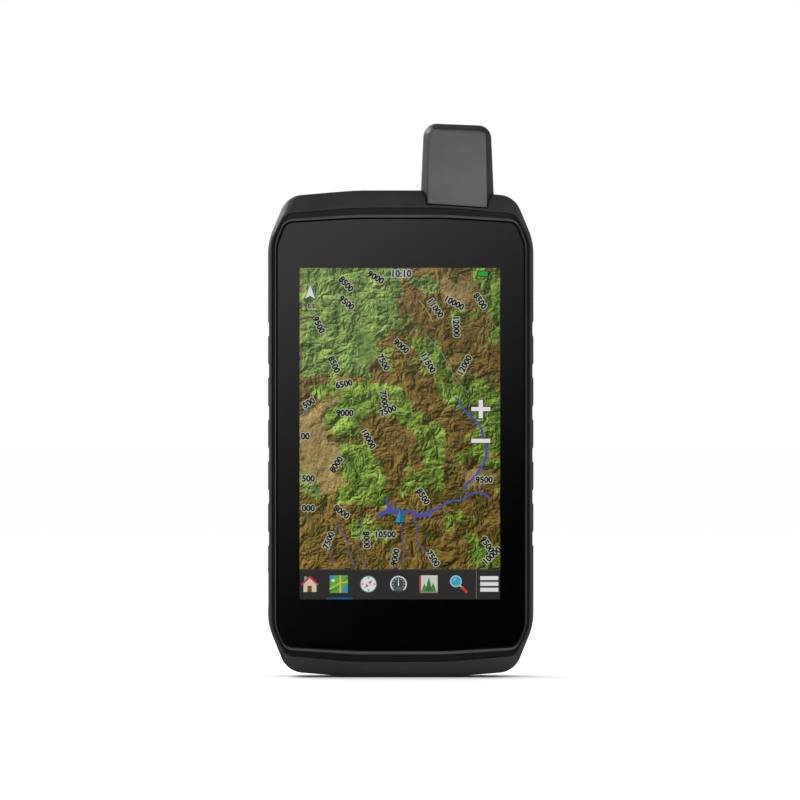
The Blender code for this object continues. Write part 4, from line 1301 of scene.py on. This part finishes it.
def draw_lens(picture, centre):
    lens = spread([(-0.95, 0.95)], centre)[0]
    picture.line(spread([(0.2, -0.2), (1.0, -1.0)], centre), 0.5, "b4b8b8", 2)
    picture.line(spread([(0.9, -0.9), (2.75, -2.8)], centre), 0.95, "b83a30", 3)
    picture.disc(lens, 1.95, "8ec8d4", 3)
    picture.disc(lens, 1.6, "3f98b2", 4)
    picture.polygon(spread([(-1.9, 1.0), (-1.3, 1.9), (-0.6, 2.0), (-1.4, 1.2)], centre), "8ccadc", 5)


# Land cover in the picture: the kind, then the outline of its area.
COVER_AREAS = (
    ("wood", (
        (-34, 137), (2.3, 137), (-0.6, 125.7), (-0.1, 115), (-6.3, 114.3), (-8.7, 106.7), (-9.2, 99.5),
        (-34, 99.5)
    )),
    ("wood", ((2.3, 131.4), (12.3, 131.4), (12.3, 126.2), (9.0, 125.7), (6.1, 130.0))),
    ("meadow", (
        (23, 137), (34, 137), (34, 113.3), (30.0, 110.5), (28.6, 120.0), (16.6, 117.6), (17.1, 121.4),
        (28.6, 121.9), (26.2, 129.0)
    )),
    ("meadow", ((-8.2, 113.3), (-3.4, 113.3), (-2.5, 102.4), (-8.2, 107.6))),
    ("meadow", (
        (2.0, 112.9), (11.4, 111.4), (18.1, 97.1), (34, 99.5), (34, 69.0), (25.2, 69.5), (21.4, 79.3),
        (24.5, 84.7), (17.0, 89.0), (9.9, 99.1)
    )),
    ("meadow", (
        (-17.8, 98.1), (-7.3, 97.1), (2.8, 95.7), (3.7, 88.2), (12.0, 86.0), (14.7, 79.2), (14.2, 61.4),
        (0.4, 61.4), (0.9, 70.9), (6.5, 69.1), (8.4, 72.0), (6.5, 79.1), (-2.0, 85.6), (-10.1, 87.6),
        (-13.0, 84.3), (-14.1, 79.5), (-22.5, 80.0), (-25.9, 87.6), (-21.1, 92.4)
    )),
    ("meadow", (
        (-21.1, 78.1), (-12.1, 78.1), (-8.3, 71.9), (-5.3, 68.2), (-6.3, 57.1), (-24.0, 57.6),
        (-23.5, 61.4), (-16.3, 64.3), (-20.6, 67.1)
    )),
    ("meadow", ((22.8, 44.8), (34, 44.3), (34, 36.0), (20.9, 36.0))),
    ("wood", ((-34, 68.6), (-28.8, 65.2), (-27.8, 59.5), (-34, 60.9))),
    ("plain", (
        (-34, 87.0), (-27.3, 90.5), (-17.8, 96.2), (-18.7, 90.5), (-25.9, 87.0), (-24.5, 79.5),
        (-18.8, 76.6), (-21.1, 68.1), (-16.3, 63.3), (-22.5, 60.9), (-27.8, 61.4), (-28.3, 65.7),
        (-34, 69.0)
    )),
    ("plain", ((20.9, 69.0), (30.0, 70.0), (31.9, 65.2), (22.8, 63.3))),
    ("plain", ((14.0, 131.5), (20.0, 131.0), (26.0, 126.0), (20.0, 124.5), (13.0, 127.0))),
    ("plain", ((-13.6, 114.0), (-7.6, 113.0), (-8.6, 103.0), (-13.0, 104.0))),
)
COVER_KINDS = ("wood", "meadow", "plain")
COVER_CELL = 0.8
COVER_SOFTNESS = 2.6


def area_weight(area, u, v):
    """1 deep inside an area and 0 well outside it, by the distance to its edge."""
    inside = False
    nearest = 1.0e9
    for (u0, v0), (u1, v1) in zip(area, area[1:] + area[:1]):
        if (v0 > v) != (v1 > v) and u < u0 + (v - v0) * (u1 - u0) / (v1 - v0):
            inside = not inside
        along = ((u - u0) * (u1 - u0) + (v - v0) * (v1 - v0)) / ((u1 - u0) ** 2 + (v1 - v0) ** 2)
        along = min(1.0, max(0.0, along))
        nearest = min(nearest, math.hypot(u - u0 - along * (u1 - u0), v - v0 - along * (v1 - v0)))
    return min(1.0, max(0.0, 0.5 + (0.5 if inside else -0.5) * nearest / COVER_SOFTNESS))


def make_map(surface):
    """The map's sheet, whose points carry the weights of the three kinds of land cover."""
    low_u, low_v = PICTURE_LOW[0], TOOLBAR_TOP
    width, height = PICTURE_HIGH[0] - low_u, PICTURE_HIGH[1] - low_v
    columns, rows = round(width / COVER_CELL), round(height / COVER_CELL)
    places = [
        (low_u + width * column / columns, low_v + height * row / rows)
        for row in range(rows + 1) for column in range(columns + 1)
    ]
    across = columns + 1
    corners = [row * across + column for row in range(rows) for column in range(columns)]
    faces = [(corner, corner + 1, corner + across + 1, corner + across) for corner in corners]
    mesh = bpy.data.meshes.new("map_sheet")
    mesh.from_pydata([Vector((u, PICTURE_Y, v)) * MM for u, v in places], [], faces)
    cover = mesh.attributes.new("cover", "FLOAT_COLOR", "POINT")
    for entry, (u, v) in zip(cover.data, places):
        weights = dict.fromkeys(COVER_KINDS, 0.0)
        for kind, area in COVER_AREAS:
            weights[kind] = max(weights[kind], area_weight(area, u, v))
        entry.color = (*(weights[kind] for kind in COVER_KINDS), 1.0)
    sheet = link("map_sheet", mesh)
    thicken(sheet, 0.01)
    settle(sheet, surface, "case", "display")


def folds(nodes, spot, scale, detail):
    """Land folded into round crests and sharp valleys."""
    return nodes.off_centre(nodes.noise(spot, scale, detail, 0.55))


def relief(nodes, spot):
    """The height of the map's land: broad ridges bent by slow swirls, with folds and gullies across them."""
    swirl = nodes.noise(spot, 0.07, 3.0, 0.55, "Color")
    bent = nodes.shifted(spot, nodes.scaled(swirl, 11.0))
    broad = folds(nodes, bent, 0.135, 0.0)
    large = folds(nodes, nodes.shifted(bent, (5.0, 0.0, 29.0)), 0.30, 1.0)
    small = folds(nodes, nodes.shifted(bent, (17.0, 0.0, 5.0)), 0.66, 1.0)
    height = nodes.math("MULTIPLY_ADD", broad, 1.5, large)
    return nodes.math("MULTIPLY_ADD", small, 0.55, height)


# Tints of the ridges, woods, meadows and bare plains, from the darkest of their mottle to the palest.
LAND_TINTS = (
    ((0.36, "50541f"), (0.45, "695e2a"), (0.54, "826a3a"), (0.62, "7d7640")),
    ((0.36, "4f7034"), (0.50, "719350"), (0.64, "98b468")),
    ((0.36, "4a6a26"), (0.50, "6f913c"), (0.64, "98bd5c")),
    ((0.36, "897e52"), (0.50, "a29364"), (0.64, "b8a474")),
)
MAP_GRADE = (0.87, 0.79, 0.63)
SCREEN_BLACK = (0.004, 0.004, 0.004)


def map_surface():
    """A shaded relief map: woods, meadows, bare plains and brown ridges, lit from the upper left."""
    nodes = Nodes("map_light")
    spot = nodes.place()
    here = relief(nodes, spot)
    stride = 0.20
    east = relief(nodes, nodes.shifted(spot, (stride, 0.0, 0.0)))
    north = relief(nodes, nodes.shifted(spot, (0.0, 0.0, stride)))
    slope = nodes.math("SUBTRACT", nodes.math("SUBTRACT", east, here), nodes.math("SUBTRACT", north, here))
    attribute = nodes.add("ShaderNodeAttribute", attribute_name="cover")
    split = nodes.add("ShaderNodeSeparateColor")
    nodes.feed(attribute.outputs["Color"], split.inputs[0])
    ragged = nodes.noise(spot, 0.20, 6.0, 0.72)
    masks = []
    for output in split.outputs:
        torn = nodes.plus(output, nodes.math("MULTIPLY_ADD", ragged, 2.6, -1.3))
        masks.append(nodes.span(torn, 0.42, 0.58))
    wood, meadow, plain = masks
    glades = nodes.noise(nodes.shifted(spot, (0.0, 0.0, 63.0)), 0.085, 6.0, 0.68)
    meadow = nodes.times(meadow, nodes.span(glades, 0.40, 0.42))
    copses = nodes.times(nodes.span(glades, 0.590, 0.605), nodes.math("SUBTRACT", 1.0, plain))
    meadow = nodes.math("MAXIMUM", meadow, copses)
    tint = nodes.noise(spot, 0.16, 3.0, 0.6)
    speck = nodes.noise(spot, 0.9, 2.0, 0.6)
    tint = nodes.plus(nodes.times(tint, 0.65), nodes.times(speck, 0.35))
    ridge, woods, grass, bare = (
        nodes.ramp(tint, [(position, colour(code)) for position, code in stops]) for stops in LAND_TINTS
    )
    land = nodes.mix(plain, ridge, bare)
    land = nodes.mix(wood, land, woods)
    land = nodes.mix(meadow, land, grass)
    strength = nodes.math("MULTIPLY_ADD", plain, -9.5, 14.5)
    lit = nodes.math("MULTIPLY_ADD", slope, strength, 0.94)
    lit = nodes.math("MINIMUM", nodes.math("MAXIMUM", lit, 0.22), 1.9)
    course = nodes.noise(nodes.shifted(spot, (31.0, 0.0, 7.0)), 0.13, 5.0, 0.65)
    vein = nodes.span(nodes.off_centre(course), 0.0, 0.010, 0.42, 1.0)
    level = nodes.math("FRACT", nodes.times(here, 9.0))
    contour = nodes.span(nodes.off_centre(level), 0.0, 0.14, 0.45, 1.0)
    contour = nodes.math("MAXIMUM", contour, nodes.times(plain, 0.88))
    land = nodes.vector("MULTIPLY", land, MAP_GRADE)
    east_side = nodes.span(nodes.along(spot, (1.0, 0.0, 0.0)), -8.0, 32.0, 1.0, 0.74)
    land = nodes.scaled(land, east_side)
    land = nodes.scaled(land, nodes.times(nodes.times(lit, vein), contour))
    nodes.set(base_color=SCREEN_BLACK, roughness=nodes.vary(ragged, 0.04, 0.07), specular_ior_level=1.0)
    nodes.set(emission_color=land, emission_strength=1.0)
    return nodes.surface


def drawn_surface():
    """The flat inks of the screen's signs, each dimmed a little by the panel's fine grain."""
    nodes = Nodes("sign_light")
    attribute = nodes.add("ShaderNodeAttribute", attribute_name="tone")
    grain = nodes.noise(nodes.place(), 3.0, 2.0, 0.5)
    tone = nodes.scaled(attribute.outputs["Color"], nodes.vary(grain, 0.92, 1.04))
    nodes.set(base_color=SCREEN_BLACK, roughness=0.35, specular_ior_level=0.0)
    nodes.set(emission_color=tone, emission_strength=1.0)
    return nodes.surface


def make_picture():
    make_map(map_surface())
    picture = Picture()
    draw_map(picture)
    draw_marks(picture)
    draw_toolbar(picture)
    picture.finish("screen_signs", drawn_surface())


# ---------------------------------------------------------------- more materials
def clear_sheet(name, polish, ior):
    """A clear pane: light passes straight on, apart from the share that its faces reflect."""
    nodes = Nodes(name)
    nodes.tree.nodes.remove(nodes.shader)
    spot = nodes.place()
    smear = nodes.noise(nodes.vector("MULTIPLY", spot, (1.0, 1.0, 0.6)), 0.05, 5.0, 0.6)
    fresnel = nodes.add("ShaderNodeFresnel")
    fresnel.inputs["IOR"].default_value = ior
    through = nodes.add("ShaderNodeBsdfTransparent")
    nodes.feed((1.0, 1.0, 1.0), through.inputs["Color"])
    gloss = nodes.add("ShaderNodeBsdfGlossy")
    nodes.feed((1.0, 1.0, 1.0), gloss.inputs["Color"])
    nodes.feed(nodes.span(smear, 0.35, 0.7, polish, polish + 0.06), gloss.inputs["Roughness"])
    both = nodes.add("ShaderNodeMixShader")
    inside = nodes.add("ShaderNodeNewGeometry").outputs["Backfacing"]
    glance = nodes.span(fresnel.outputs[0], 0.06, 0.50, 0.0, 0.25)
    nodes.feed(nodes.times(glance, nodes.math("SUBTRACT", 1.0, inside)), both.inputs[0])
    nodes.tree.links.new(through.outputs[0], both.inputs[1])
    nodes.tree.links.new(gloss.outputs[0], both.inputs[2])
    nodes.tree.links.new(both.outputs[0], nodes.tree.nodes["Material Output"].inputs["Surface"])
    return nodes.surface


def ink(name):
    """Black screen print on the back of the glass, with the faint mottle of a screened coat."""
    nodes = Nodes(name)
    mottle = nodes.noise(nodes.place(), 1.4, 3.0, 0.6)
    nodes.set(base_color=nodes.scaled((0.0016, 0.0016, 0.0018), nodes.vary(mottle, 0.7, 1.3)))
    nodes.set(roughness=nodes.vary(mottle, 0.03, 0.06), specular_ior_level=1.0)
    return nodes.surface


def circuit_board():
    """Green solder mask over fine copper tracks, with a scatter of pale via rings."""
    nodes = Nodes("solder_mask")
    spot = nodes.place()
    tracks = nodes.add("ShaderNodeTexBrick")
    tracks.inputs["Scale"].default_value = 0.45
    tracks.inputs["Mortar Size"].default_value = 0.012
    flat = nodes.add("ShaderNodeMapping")
    nodes.feed(spot, flat.inputs["Vector"])
    flat.inputs["Rotation"].default_value = (math.radians(90.0), 0.0, 0.0)
    nodes.feed(flat.outputs[0], tracks.inputs["Vector"])
    vias = nodes.span(nodes.cells(spot, 0.35), 0.10, 0.16, 1.0, 0.0)
    mask = nodes.mix(tracks.outputs["Fac"], colour("0f4a2a"), colour("2c7a48"))
    nodes.set(base_color=nodes.mix(vias, mask, colour("b8a468")))
    cloud = nodes.noise(spot, 0.2, 4.0, 0.6)
    nodes.set(roughness=nodes.vary(cloud, 0.28, 0.42))
    nodes.set(normal=nodes.bump(nodes.plus(tracks.outputs["Fac"], vias), 0.4, 0.03))
    return nodes.surface


def perforated(name, code):
    """A thin steel screen with rows of small dark holes."""
    nodes = Nodes(name)
    spot = nodes.place()
    open_part = nodes.span(nodes.cells(spot, 1.3, 0.0), 0.24, 0.30, 1.0, 0.0)
    nodes.set(base_color=nodes.mix(open_part, colour(code), SCREEN_BLACK))
    nodes.set(metallic=nodes.span(open_part, 0.0, 1.0, 1.0, 0.0), roughness=0.38)
    nodes.set(normal=nodes.bump(open_part, -0.6, 0.05))
    return nodes.surface


def numbered(stem, count):
    return [f"{stem}_{number}" for number in range(1, count + 1)]


# Materials of the CAD nodes that stay: the maker, a name, a colour, a roughness and the nodes.
CARRIED = (
    (moulded, "foam", "16171a", 0.9, ["glass_seal"]),
    (moulded, "membrane", "3c3d3f", 0.9, ["pressure_vent"]),
    (moulded, "silicone_orange", "8c3a22", 0.5, ["case_seal", "cover_seal", "button_seal"]),
    (moulded, "amber_film", "a0661e", 0.35, ["display_flex"]),
    (moulded, "fired_ceramic", "cfc8b8", 0.6, ["antenna_element"]),
    (moulded, "black_insulator", "1c1c1e", 0.5, ["speaker", "contact_block", "terminal_block"]),
    (moulded, "card_black", "141416", 0.45, ["memory_card"]),
    (moulded, "panel_black", "08080a", 0.5, ["display_module"]),
    (moulded, "battery_shell", "2a2c30", 0.45, ["battery_pack"]),
    (metal, "magnesium_cast", "9a9c9e", 0.45, ["display_frame"]),
    (metal, "tin_plate", "b8b8b2", 0.3, ["processor_shield", "receiver_shield", "card_socket", "usb_socket"]),
    (metal, "steel_small", "a0a0a2", 0.3, ["power_switch", "stud_clip"] + numbered("board_screw", 4)),
    (metal, "gold_plate", "c8963c", 0.25,
     ["antenna_jack"] + numbered("contact_pad", 4) + numbered("battery_contact", 3)),
    (metal, "copper_braid", "a0683c", 0.4, ["antenna_lead"]),
)


def dress_carried_nodes():
    """Give the CAD nodes that stay in view or inside their materials."""
    for maker, name, code, roughness, nodes in CARRIED:
        surface = maker(name, code, roughness)
        for node in nodes:
            dress(node, surface)
    dress("main_board", circuit_board())
    dress("speaker_mesh", perforated("speaker_screen", "8c8c8e"))
    dress("touch_panel", clear_sheet("touch_film", 0.25, 1.02))


def dress(node, surface):
    wear(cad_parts[node], surface)


# ---------------------------------------------------------------- stage
FLOOR_EDGES = (-8000.0, 8000.0, -6000.0, 12000.0)
FLOOR_PAINTED_SHADOW_REACH = 60.0


def flat_sheet(name, axis, height, edges):
    """One big face, for the stage."""
    points = [place(axis, height, u, v) for u, v in rectangle(*edges)]
    return mesh_object(name, points, [(0, 1, 2, 3)])


def make_stage():
    floor = flat_sheet("floor", "Z", 0.0, FLOOR_EDGES)
    nodes = Nodes("floor_paper")
    fibres = nodes.noise(nodes.place(), 0.02, 4.0, 0.5)
    pale = nodes.scaled((1.0, 1.0, 1.0), nodes.vary(fibres, 0.58, 0.60))
    nodes.set(base_color=pale, roughness=0.9, specular_ior_level=0.0)
    # Painted shadow: ambient occlusion dims the floor's glow near the case, a painted contact shadow.
    painted_contact_shadow = nodes.add("ShaderNodeAmbientOcclusion", samples=8)
    painted_contact_shadow.inputs["Distance"].default_value = FLOOR_PAINTED_SHADOW_REACH * MM
    nodes.set(emission_color=painted_contact_shadow.outputs["Color"], emission_strength=0.95)
    wear(floor, nodes.surface)
    floor.visible_glossy = False


PANEL_Y = -3200.0
PANEL_EDGES = (-900.0, 900.0, -400.0, 1000.0)
PANEL_LEVEL = 0.262
PANEL_RISE_ACROSS = -0.00183
PANEL_RISE_UP = 0.00285
PANEL_STRENGTH = 0.52


def make_light_panel():
    """A studio panel behind the camera, bright at its upper left and fading to nothing at its lower right."""
    panel = flat_sheet("light_panel", "Y", PANEL_Y, PANEL_EDGES)
    nodes = Nodes("panel_glow")
    nodes.tree.nodes.remove(nodes.shader)
    split = nodes.add("ShaderNodeSeparateXYZ")
    nodes.feed(nodes.place(), split.inputs[0])
    across, _, up = split.outputs
    risen = nodes.math("MULTIPLY_ADD", up, PANEL_RISE_UP, PANEL_LEVEL)
    level = nodes.plus(nodes.times(across, PANEL_RISE_ACROSS), risen)
    level = nodes.math("MINIMUM", nodes.math("MAXIMUM", level, 0.0), 1.0)
    glow = nodes.add("ShaderNodeEmission")
    nodes.feed(nodes.times(nodes.math("POWER", level, 2.0), PANEL_STRENGTH), glow.inputs["Strength"])
    nodes.tree.links.new(glow.outputs[0], nodes.tree.nodes["Material Output"].inputs["Surface"])
    wear(panel, nodes.surface)
    panel.visible_camera = False
    panel.visible_shadow = False


# The lamps: a name, a place and a width and height in metres, and a power in watts.
LAMPS_M = (
    ("overhead", (0.0, -0.25, 1.2), (1.0, 0.8), 2.2),
    ("front_left", (-0.9, -2.3, 1.5), (0.9, 1.0), 10.0),
    ("front_right", (1.4, -1.9, 0.7), (0.8, 1.0), 9.0),
    ("back_key", (-0.34, 0.46, 0.44), (0.26, 0.26), 3.2),
    ("back_fill", (0.9, 1.5, 0.2), (0.8, 0.8), 1.2),
    ("side_left", (-0.42, 0.14, 0.40), (0.12, 0.3), 0.45),
    ("side_right", (0.42, 0.14, 0.40), (0.12, 0.3), 0.22),
)
LAMP_AIM_M = (0.0, 0.0, 0.09)


def area_light(name, place_m, size_m, power):
    lamp = bpy.data.lights.new(name, "AREA")
    lamp.shape = "RECTANGLE"
    lamp.size, lamp.size_y = size_m
    lamp.energy = power
    obj = link(name, lamp)
    obj.location = place_m
    obj.rotation_euler = (Vector(LAMP_AIM_M) - Vector(place_m)).to_track_quat("-Z", "Y").to_euler()
    obj.visible_camera = False


def make_world():
    """White behind everything; as light it is bright above and behind, and dim on the display's side."""
    world = bpy.data.worlds.new("studio")
    world.use_nodes = True
    tree = world.node_tree
    background = tree.nodes["Background"]
    coordinate = tree.nodes.new("ShaderNodeTexCoord")
    split = tree.nodes.new("ShaderNodeSeparateXYZ")
    tree.links.new(coordinate.outputs["Generated"], split.inputs[0])
    front = tree.nodes.new("ShaderNodeMapRange")
    tree.links.new(split.outputs["Y"], front.inputs["Value"])
    for key, value in (("From Min", -0.75), ("From Max", 0.1), ("To Min", 0.002), ("To Max", 0.08)):
        front.inputs[key].default_value = value
    path = tree.nodes.new("ShaderNodeLightPath")
    seen = tree.nodes.new("ShaderNodeMath")
    seen.operation = "MAXIMUM"
    tree.links.new(path.outputs["Is Camera Ray"], seen.inputs[0])
    tree.links.new(front.outputs[0], seen.inputs[1])
    tree.links.new(seen.outputs[0], background.inputs["Strength"])
    background.inputs["Color"].default_value = (1.0, 1.0, 1.0, 1.0)
    bpy.context.scene.world = world


def make_lights():
    make_world()
    make_light_panel()
    for lamp in LAMPS_M:
        area_light(*lamp)


CAMERA_PLACE_M = (-0.00025, -2.5, 0.09189)
VIEW_WIDTH_M = 0.26624
SENSOR_WIDTH = 36.0


def make_camera():
    """A long lens level with the middle of the case, as far off as a portrait of it would be."""
    lens = bpy.data.cameras.new("view")
    lens.sensor_width = SENSOR_WIDTH
    lens.lens = SENSOR_WIDTH * abs(CAMERA_PLACE_M[1]) / VIEW_WIDTH_M
    lens.clip_end = 50.0
    camera = link("view", lens)
    camera.location = CAMERA_PLACE_M
    camera.rotation_euler = (math.radians(90.0), 0.0, 0.0)
    bpy.context.scene.camera = camera


def main():
    bpy.context.scene.view_settings.view_transform = "Standard"
    make_camera()
    make_stage()
    make_lights()
    # Painted highlight: the bezel's lip in front of 15.9 mm depth is nine times lighter.
    lip_painted_highlight = ((0.0, 1.0, 0.0), 15.9, 9.0)
    # Painted shade: the grip's grooves keep the base tone while its pads outside 43.84 mm are 1.7 times
    # lighter.
    grip_groove_painted_shade = ((1.0, 0.0, 0.0), 43.84, 1.7)
    case_plastic = moulded("case_plastic_grain", "343435", 0.60, 0.42, 0.03, worn=0.55)
    bezel_plastic = moulded("bezel_plastic_satin", "161617", 0.45, 0.22, 0.008, crest=lip_painted_highlight)
    grip_rubber = moulded("grip_rubber_matt", "262627", 0.70, 1.1, 0.09, crest=grip_groove_painted_shade)
    antenna_grey = moulded("antenna_grey_texture", "5f5f60", 0.55, 0.25, 0.01)
    antenna_plastic = moulded("antenna_plastic_texture", "2d2d2e", 0.60, 0.42, 0.03, worn=0.55)
    cap_rubber = moulded("cap_rubber_matt", "2c2c2d", 0.72, 0.3, 0.02)
    steel = metal("latch_steel", "a4a4a6", 0.26)
    screw_steel = metal("screw_steel_dark", "4c4c4e", 0.34)
    make_bezel(bezel_plastic)
    make_glass(clear_sheet("clear_glass", 0.02, 1.5))
    make_mask(ink("border_ink"))
    make_picture()
    make_housing(case_plastic)
    make_grips(grip_rubber)
    make_antenna(antenna_plastic, antenna_grey)
    make_cover(case_plastic)
    make_latch(steel)
    make_port_cap("usb_weather_cap", "usb_cap", cap_rubber)
    make_port_cap("antenna_weather_cap", "antenna_port_cap", cap_rubber)
    make_power_key(cap_rubber)
    make_case_screws(screw_steel)
    dress_carried_nodes()


main()
